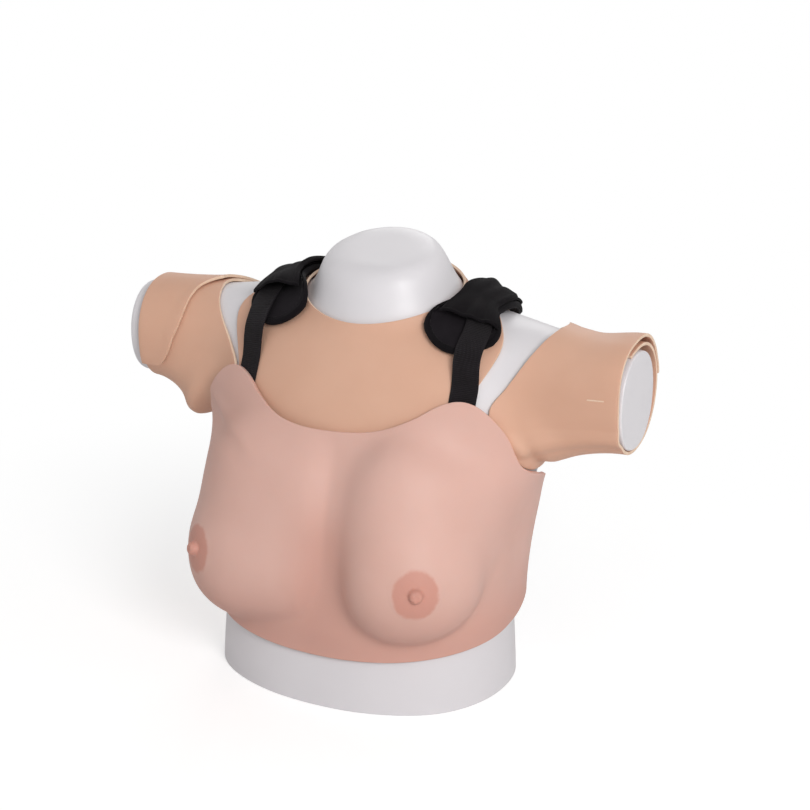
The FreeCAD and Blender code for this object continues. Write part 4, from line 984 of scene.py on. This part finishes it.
def pad_cover(side_name, side, arch):
    def at(u, v):
        across = 2 * v - 1
        angle = -COVER_REAR + (COVER_FRONT + COVER_REAR) * u
        return cover_place(side, angle, across, cover_height(side, u, across, arch))

    def hem_at(u):
        across = 2 * u - 1
        level = cover_height(side, 1.0, across, arch) + COVER / 2
        return (cover_place(side, COVER_FRONT, across, level),
                cover_place(side, COVER_FRONT + 1, across, level),
                cover_place(side, COVER_FRONT, across, level + 1))

    piece = show("pad_cover_cloth_" + side_name, laid(at, 90, 60, (0.14, 0.05)),
                 [black_cloth], ["pad_cover_" + side_name])
    thicken(piece, COVER, 1, 0.8, 3)
    show("pad_cover_hem_" + side_name, rolled(hem_at, 60, COVER * 0.68, (0.06, 0.009)),
         [binding_cloth])


def rolled(path_at, spans, radius, flat, closed=False):
    """Round roll along a path: path_at gives its middle, a place to one side and one above."""
    def at(u, v):
        middle, aside, above = path_at(u)
        one = aside - middle
        one /= np.linalg.norm(one, axis=1)[:, None]
        two = above - middle
        two -= one * np.sum(one * two, axis=1)[:, None]
        two /= np.linalg.norm(two, axis=1)[:, None]
        angle = (2 * math.pi * v)[:, None]
        return middle + radius * (np.cos(angle) * one + np.sin(angle) * two)

    bm = laid(at, spans, 14, flat, True)
    if not closed:
        bmesh.ops.holes_fill(bm, edges=bm.edges, sides=20)
    return bm


def round_pad(side, u, level, inset):
    """Place on the outline of a pad, a share u of the way round it."""
    turn = 2 * math.pi * u
    reach = np.maximum(np.abs(np.cos(turn)), np.abs(np.sin(turn)))
    along = np.cos(turn) / reach
    across = np.sin(turn) / reach
    return pad_place(side, (along + 1) / 2, (across + 1) / 2, level, inset)


def pad_binding(side_name, side):
    level = PAD_LEVEL + PAD / 2

    def edge_at(u):
        return (round_pad(side, u, level, BINDING_INSET),
                round_pad(side, u, level, BINDING_INSET - 1),
                round_pad(side, u, level + 1, BINDING_INSET))

    def seam_at(u):
        return round_pad(side, u, PAD_TOP - STITCH_SINK, STITCH_INSET)

    show("pad_binding_" + side_name, rolled(edge_at, 150, BINDING_RADIUS, (0.40, 0.019), True),
         [binding_cloth])
    show("pad_stitches_" + side_name, stitch_row(seam_at), [black_thread])


def stitch_row(path_at):
    """Thread stitches along a path, as one mesh."""
    bm = bmesh.new()
    starts = path_at(np.arange(STITCHES) / STITCHES)
    ends = path_at((np.arange(STITCHES) + STITCH_SHARE) / STITCHES)
    for start, end in zip(starts, ends):
        one, other = Vector(start * MM), Vector(end * MM)
        turn = (other - one).to_track_quat("Z", "Y").to_matrix().to_4x4()
        place = Matrix.Translation((one + other) / 2) @ turn
        bmesh.ops.create_cone(bm, cap_ends=True, segments=6, radius1=THREAD_RADIUS * MM,
                              radius2=THREAD_RADIUS * MM, depth=(other - one).length,
                              matrix=place)
    return bm


# Shoulder straps: over the shoulder, straight down the back, round the ring and up again

STRAP_FOOT_LEVEL = 258
STRAP_FREE_LEVEL = 262
STRAP_SETTLES = (0.62, 0.96)
STRAP_TIGHTENS = (0.80, 0.995)
STRAP_OFF_PAD_ZONE = (0, 22)
STRAP_RUN_PER_DEGREE = 1.9
OVER_LENGTH = 300
RING_LEVEL = 158
RING_STANDOFF = 8.5
RING_THICKNESS = 2.4
RING_BAR_Y = 6
SLIDE_CLEARANCE = 0.4
MIDDLE_LIFT = RING_THICKNESS / 2 + SLIDE_CLEARANCE + WEB / 2
TAIL = 88
MIRROR = np.array([-1.0, 1.0, 1.0])


def back_point(x, z, level):
    """Point of the back at x and height z."""
    start = (float(x), float(trunk_middle(z)), float(z))
    return meet(dressed_distance, start, (0.0, 1.0, 0.0), level)


def rear_frame():
    """The straight stretch on the left: where the ring is, directions, and its length."""
    low = back_point(STRAP_REAR_X, RING_LEVEL, RING_STANDOFF)
    high = back_point(STRAP_REAR_X, STRAP_FREE_LEVEL, STRAP_LEVEL + MIDDLE_LIFT + WEB / 2)
    length = np.linalg.norm(high - low)
    up = (high - low) / length
    one, other = [back_point(STRAP_REAR_X + way * WEB_WIDTH / 2, RING_LEVEL + length / 2, 0)
                  for way in (1, -1)]
    across = unit(other - one - up * (other - one).dot(up))
    return low, across, up, np.cross(across, up), length


REAR_ORIGIN, REAR_X, REAR_Y, REAR_Z, REAR_LENGTH = rear_frame()


def rear_place(side, x, y, z):
    """Point of the straight stretch: x across towards the middle, y up the strap, z outward."""
    place = (REAR_ORIGIN + np.outer(x, REAR_X) + np.outer(y, REAR_Y) + np.outer(z, REAR_Z))
    return place if side > 0 else place * MIRROR


def angle_down_to(x, level, way):
    """Angle in the slice at x where the body has come down to a level."""
    angles = np.arange(0, 120)
    heights = slice_point(dressed_distance, x + 0 * angles, way * angles, 0)[:, 2]
    return way * float(angles[np.argmax(heights <= level)])


def shoulder_strap(side_name, side):
    foot = angle_down_to(side * STRAP_FRONT_X, STRAP_FOOT_LEVEL, 1)
    rear = angle_down_to(side * STRAP_REAR_X, STRAP_FREE_LEVEL, -1)
    bend = math.pi * MIDDLE_LIFT
    down = REAR_LENGTH - RING_BAR_Y
    whole = OVER_LENGTH + down + bend + TAIL

    def over(share, across):
        angle = foot + (rear - foot) * share
        middle = strap_middle_x(angle)
        middle = middle + (STRAP_REAR_X - middle) * step(*STRAP_SETTLES, share)
        off_pad = step(*STRAP_OFF_PAD_ZONE, angle - PAD_FRONT)
        level = STRAP_LEVEL + (SKIN_REST - STRAP_LEVEL) * off_pad
        half = WEB_WIDTH / 2
        one = slice_point(dressed_distance, worn_x(side, middle - half, angle), angle, level)
        other = slice_point(dressed_distance, worn_x(side, middle + half, angle), angle, level)
        half = half * WEB_WIDTH / np.linalg.norm(other - one, axis=1)
        x = worn_x(side, middle + across * half, angle)
        soft = slice_point(dressed_distance, x, angle, level + WEB / 2)
        y = REAR_LENGTH + (1 - share) * (foot - rear) * STRAP_RUN_PER_DEGREE
        tight = rear_place(side, -across * WEB_WIDTH / 2, y, -MIDDLE_LIFT + 0 * y)
        return soft + (tight - soft) * step(*STRAP_TIGHTENS, share)[:, None]

    def at(u, v):
        run = u * whole
        across = 2 * v - 1
        places = over(np.clip(run / OVER_LENGTH, 0, 1), across)
        after = run - OVER_LENGTH
        turned = np.clip((after - down) / bend, 0, 1) * math.pi
        tail = np.clip(after - down - bend, 0, TAIL)
        y = np.where(after < down, REAR_LENGTH - after, RING_BAR_Y - MIDDLE_LIFT * np.sin(turned)
                     + tail)
        z = -MIDDLE_LIFT * np.cos(turned)
        behind = rear_place(side, -across * WEB_WIDTH / 2, y, z)
        return np.where((after > 0)[:, None], behind, places)

    bm = laid(at, 300, 10, (whole * MM, WEB_WIDTH * MM))
    piece = show("shoulder_strap_web_" + side_name, bm, [webbing],
                 ["shoulder_strap_" + side_name])
    thicken(piece, WEB, 0, 0.5)


# Back belt

BELT_OVERLAP_X = 34
LAP_ANGLE = math.degrees(math.asin(BELT_OVERLAP_X / RIB_HALF_DEPTH))
BELT_LEVEL = 100
BELT_HEIGHT = 38
BELT_START = 100
BELT_START_LIFT = 1.4
BELT_START_ZONE = (112, 128)
BELT_RISE_ZONE = (0.5, 5)
RING_LOOP_SEWN = 14
PATCH_STEP = PATCH + LAYER_GAP / 2
BELT_TOP = LAYER_GAP + BELT
LAP_LEVEL = BELT_TOP + 2 * PATCH_STEP + LAYER_GAP / 2


def belt_half(side_name, side, lifted):
    def at(u, v):
        heading = BELT_START + (180 + LAP_ANGLE - BELT_START) * u
        to_lap = 180 - LAP_ANGLE - heading
        raised = 1 - step(*BELT_RISE_ZONE, to_lap) if lifted else 0
        level = LAYER_GAP + (LAP_LEVEL - LAYER_GAP) * raised
        level = level + BELT_START_LIFT * (1 - step(*BELT_START_ZONE, heading)) + BELT / 2
        return level_point(dressed_distance, side * heading, BELT_LEVEL + BELT_HEIGHT * v, level)

    piece = show("back_belt_band_" + side_name, laid(at, 120, 12, (0.22, WEB_WIDTH * MM)),
                 [elastic], ["back_belt_" + side_name])
    thicken(piece, BELT, 0, 0.6)


def belt_patch(name, number):
    def at(u, v):
        heading = 180 + (LAP_ANGLE - 2) * (2 * u - 1)
        level = BELT_TOP + LAYER_GAP / 2 + PATCH_STEP * number + PATCH / 2
        z = BELT_LEVEL + BELT_HEIGHT * (0.08 + 0.84 * v)
        return level_point(dressed_distance, heading, z, level)

    piece = show(name + "_tape", laid(at, 48, 20, (0.066, 0.032)), [black_cloth],
                 [name])
    thicken(piece, PATCH, 0, 0.4)


def ring_loop(side_name, side):
    """Webbing loop from the belt round the lower bar of a ring and back."""
    sewn = BELT_LEVEL + BELT_HEIGHT - RING_LOOP_SEWN
    foot = back_point(STRAP_REAR_X, sewn, 2 * LAYER_GAP + BELT + WEB / 2) - REAR_ORIGIN
    lower = np.array([foot @ REAR_Y, foot @ REAR_Z])
    upper = lower + np.array([0.0, STRAP_LIFT])
    bar = np.array([-RING_BAR_Y, 0.0])

    def touch(start, way):
        reach = start - bar
        spread = math.acos(MIDDLE_LIFT / np.linalg.norm(reach))
        return math.atan2(reach[1], reach[0]) % (2 * math.pi) + way * spread

    turns = np.linspace(touch(lower, 1), touch(upper, -1) + 2 * math.pi, 40)
    bend = bar + MIDDLE_LIFT * np.stack([np.cos(turns), np.sin(turns)], 1)
    path = np.vstack([lower, bend, upper])
    runs = np.concatenate([[0], np.cumsum(np.linalg.norm(np.diff(path, axis=0), axis=1))])

    def at(u, v):
        y = np.interp(u * runs[-1], runs, path[:, 0])
        z = np.interp(u * runs[-1], runs, path[:, 1])
        return rear_place(side, (2 * v - 1) * WEB_WIDTH / 2, y, z)

    bm = laid(at, 150, 10, (runs[-1] * MM, WEB_WIDTH * MM))
    piece = show("ring_loop_web_" + side_name, bm, [webbing],
                 ["ring_loop_" + side_name])
    thicken(piece, WEB, 0, 0.5)


# Breast inserts

INSERT_HEADING = 43
INSERT_HALF_SPREAD = 31
INSERT_LEVEL = BREAST_LEVEL + 13
INSERT_HALF_HEIGHT = 60


def insert_front(x, y, z):
    return skin_inside(x, y, z) + LAYER_GAP


def insert_back(x, y, z):
    return body_distance(x, y, z) - LAYER_GAP


def breast_insert(side_name, side):
    def face_at(distance):
        def at(u, v):
            across, up = rounded(2 * u - 1, 2 * v - 1, 1)
            heading = INSERT_HEADING + INSERT_HALF_SPREAD * across
            return level_point(distance, side * heading, INSERT_LEVEL + INSERT_HALF_HEIGHT * up)
        return at

    bm = laid(face_at(insert_front), 60, 60, (0.12, 0.12))
    back = laid(face_at(insert_back), 60, 60, (0.12, 0.12))
    bmesh.ops.reverse_faces(back, faces=back.faces)
    back_mesh = bpy.data.meshes.new("insert_back")
    back.to_mesh(back_mesh)
    back.free()
    bm.from_mesh(back_mesh)
    bpy.data.meshes.remove(back_mesh)
    rims = [edge for edge in bm.edges if edge.is_boundary]
    bmesh.ops.bridge_loops(bm, edges=rims)
    bmesh.ops.recalc_face_normals(bm, faces=bm.faces)
    show("breast_insert_gel_" + side_name, bm, [insert_gel],
         ["breast_insert_" + side_name])


# Floor, light and camera

FLOOR_HALF = 9
FLOOR_DROP = 0.0002
FLOOR_GLOW = 0.40
SHADOW_FROM = 0.25
SHADOW_TO = 0.75
ROOM_LIGHT = 0.48
WHITE = 1.0

# Name, place and width in metres, and watts
LAMPS = [("key", (1.75, -1.55, 1.35), 1.1, 35), ("fill", (-0.6, -1.6, 2.0), 1.2, 2),
         ("back", (-0.8, 2.2, 1.7), 1.4, 10)]
LAMP_TARGET = Vector((0, 0, 0.2))

# Focal length and middle of the view, in pixels of the photo's frame
FRAME = 810
FOCAL_LENGTH = 1950
VIEW_COLUMN = 371
VIEW_ROW = 461

CAMERA_TURN = math.radians(28)
CAMERA_LIFT = math.radians(20.5)
CAMERA_DISTANCE = 1.74
CAMERA_TARGET = Vector((0, 0, 0.19))
SENSOR = 36


def floor():
    """Pale floor that keeps the shadow near the part and is white farther out."""
    bm = bmesh.new()
    bmesh.ops.create_grid(bm, x_segments=2, y_segments=2, size=FLOOR_HALF)
    bmesh.ops.translate(bm, verts=bm.verts, vec=(0, 0, -FLOOR_DROP))
    mesh = bpy.data.meshes.new("floor")
    bm.to_mesh(mesh)
    bm.free()
    plane = bpy.data.objects.new("floor", mesh)
    bpy.context.scene.collection.objects.link(plane)
    material, tree, shader, place = finish("studio_floor", 0.9, specular=0.0)
    shader.inputs["Base Color"].default_value = (0.80, 0.80, 0.80, 1)
    seen = tree.nodes.new("ShaderNodeLightPath")
    glow = add(tree, "ShaderNodeEmission", Strength=FLOOR_GLOW)
    white = add(tree, "ShaderNodeEmission", Strength=WHITE)
    both = tree.nodes.new("ShaderNodeAddShader")
    fade = tree.nodes.new("ShaderNodeMixShader")
    choice = tree.nodes.new("ShaderNodeMixShader")
    far = add(tree, "ShaderNodeVectorMath", {"operation": "LENGTH"})
    away = ramp(tree, far.outputs["Value"], SHADOW_FROM, SHADOW_TO)
    link(tree,
         (place.outputs["Object"], far.inputs[0]),
         (shader.outputs[0], both.inputs[0]),
         (glow.outputs[0], both.inputs[1]),
         (away, fade.inputs[0]),
         (both.outputs[0], fade.inputs[1]),
         (white.outputs[0], fade.inputs[2]),
         (seen.outputs["Is Camera Ray"], choice.inputs[0]),
         (shader.outputs[0], choice.inputs[1]),
         (fade.outputs[0], choice.inputs[2]),
         (choice.outputs[0], tree.nodes["Material Output"].inputs["Surface"]))
    mesh.materials.append(material)


def room_light():
    world = bpy.data.worlds.new("studio")
    bpy.context.scene.world = world
    world.use_nodes = True
    tree = world.node_tree
    back = tree.nodes["Background"]
    back.inputs["Color"].default_value = (1, 1, 1, 1)
    seen = tree.nodes.new("ShaderNodeLightPath")
    shown = maths(tree, "MAXIMUM", seen.outputs["Is Camera Ray"],
                  maths(tree, "MAXIMUM", seen.outputs["Is Glossy Ray"],
                        seen.outputs["Is Transmission Ray"]))
    strength = ramp(tree, shown, 0.0, 1.0, ROOM_LIGHT, WHITE, "LINEAR")
    link(tree, (strength, back.inputs["Strength"]))


def lamp(name, place, width, watts):
    data = bpy.data.lights.new(name, "AREA")
    data.shape = "DISK"
    data.size = width
    data.energy = watts
    item = bpy.data.objects.new(name, data)
    item.location = place
    item.rotation_euler = (LAMP_TARGET - Vector(place)).to_track_quat("-Z", "Y").to_euler()
    bpy.context.scene.collection.objects.link(item)


def camera():
    data = bpy.data.cameras.new("camera")
    data.sensor_width = SENSOR
    data.lens = FOCAL_LENGTH / FRAME * SENSOR
    data.shift_x = (FRAME / 2 - VIEW_COLUMN) / FRAME
    data.shift_y = (VIEW_ROW - FRAME / 2) / FRAME
    data.clip_end = 50
    back = Vector((math.sin(CAMERA_TURN) * math.cos(CAMERA_LIFT),
                   -math.cos(CAMERA_TURN) * math.cos(CAMERA_LIFT), math.sin(CAMERA_LIFT)))
    item = bpy.data.objects.new("camera", data)
    item.location = CAMERA_TARGET + back * CAMERA_DISTANCE
    item.rotation_euler = (-back).to_track_quat("-Z", "Y").to_euler()
    bpy.context.scene.collection.objects.link(item)
    bpy.context.scene.camera = item


bpy.context.scene.view_settings.view_transform = "Standard"
camera()
floor()
room_light()
for name, place, width, watts in LAMPS:
    lamp(name, place, width, watts)

breast_skin()
chest_bib()
sleeve("right", -1, start_angle=-25, lap_edge=RIGHT_LAP, inset=17, flare=2, sag=22, gape=0,
       chest_shift=-0.07, top_shift=0, fold=0, slit=[(0.913, 469), (0.969, 472)])
sleeve("left", 1, start_angle=380, lap_edge=LEFT_LAP, inset=2, flare=10, sag=7, gape=4,
       chest_shift=0, top_shift=0.025, fold=5, slit=[(0.84, 78), (0.93, 77)])
for side_name, side in SIDES:
    areola(side_name, side)
    shoulder_pad(side_name, side)
    pad_binding(side_name, side)
    pad_cover(side_name, side, 1.5 if side > 0 else 7)
    breast_insert(side_name, side)
    ring_loop(side_name, side)
    shoulder_strap(side_name, side)
    belt_half(side_name, side, side < 0)

belt_patch("loop_patch", 0)
belt_patch("hook_patch", 1)

NODE_FINISHES = {"display_torso": torso_white}
for side_name, _ in SIDES:
    NODE_FINISHES["back_ring_" + side_name] = moulded_black
    NODE_FINISHES["strap_slide_" + side_name] = moulded_black
    for kind in ("small_lump", "medium_lump", "large_lump", "flat_lump", "upper_axillary_node",
                 "lower_axillary_node"):
        NODE_FINISHES[kind + "_" + side_name] = lump_silicone
for node, material in NODE_FINISHES.items():
    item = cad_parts[node]
    item.data.materials.clear()
    item.data.materials.append(material)
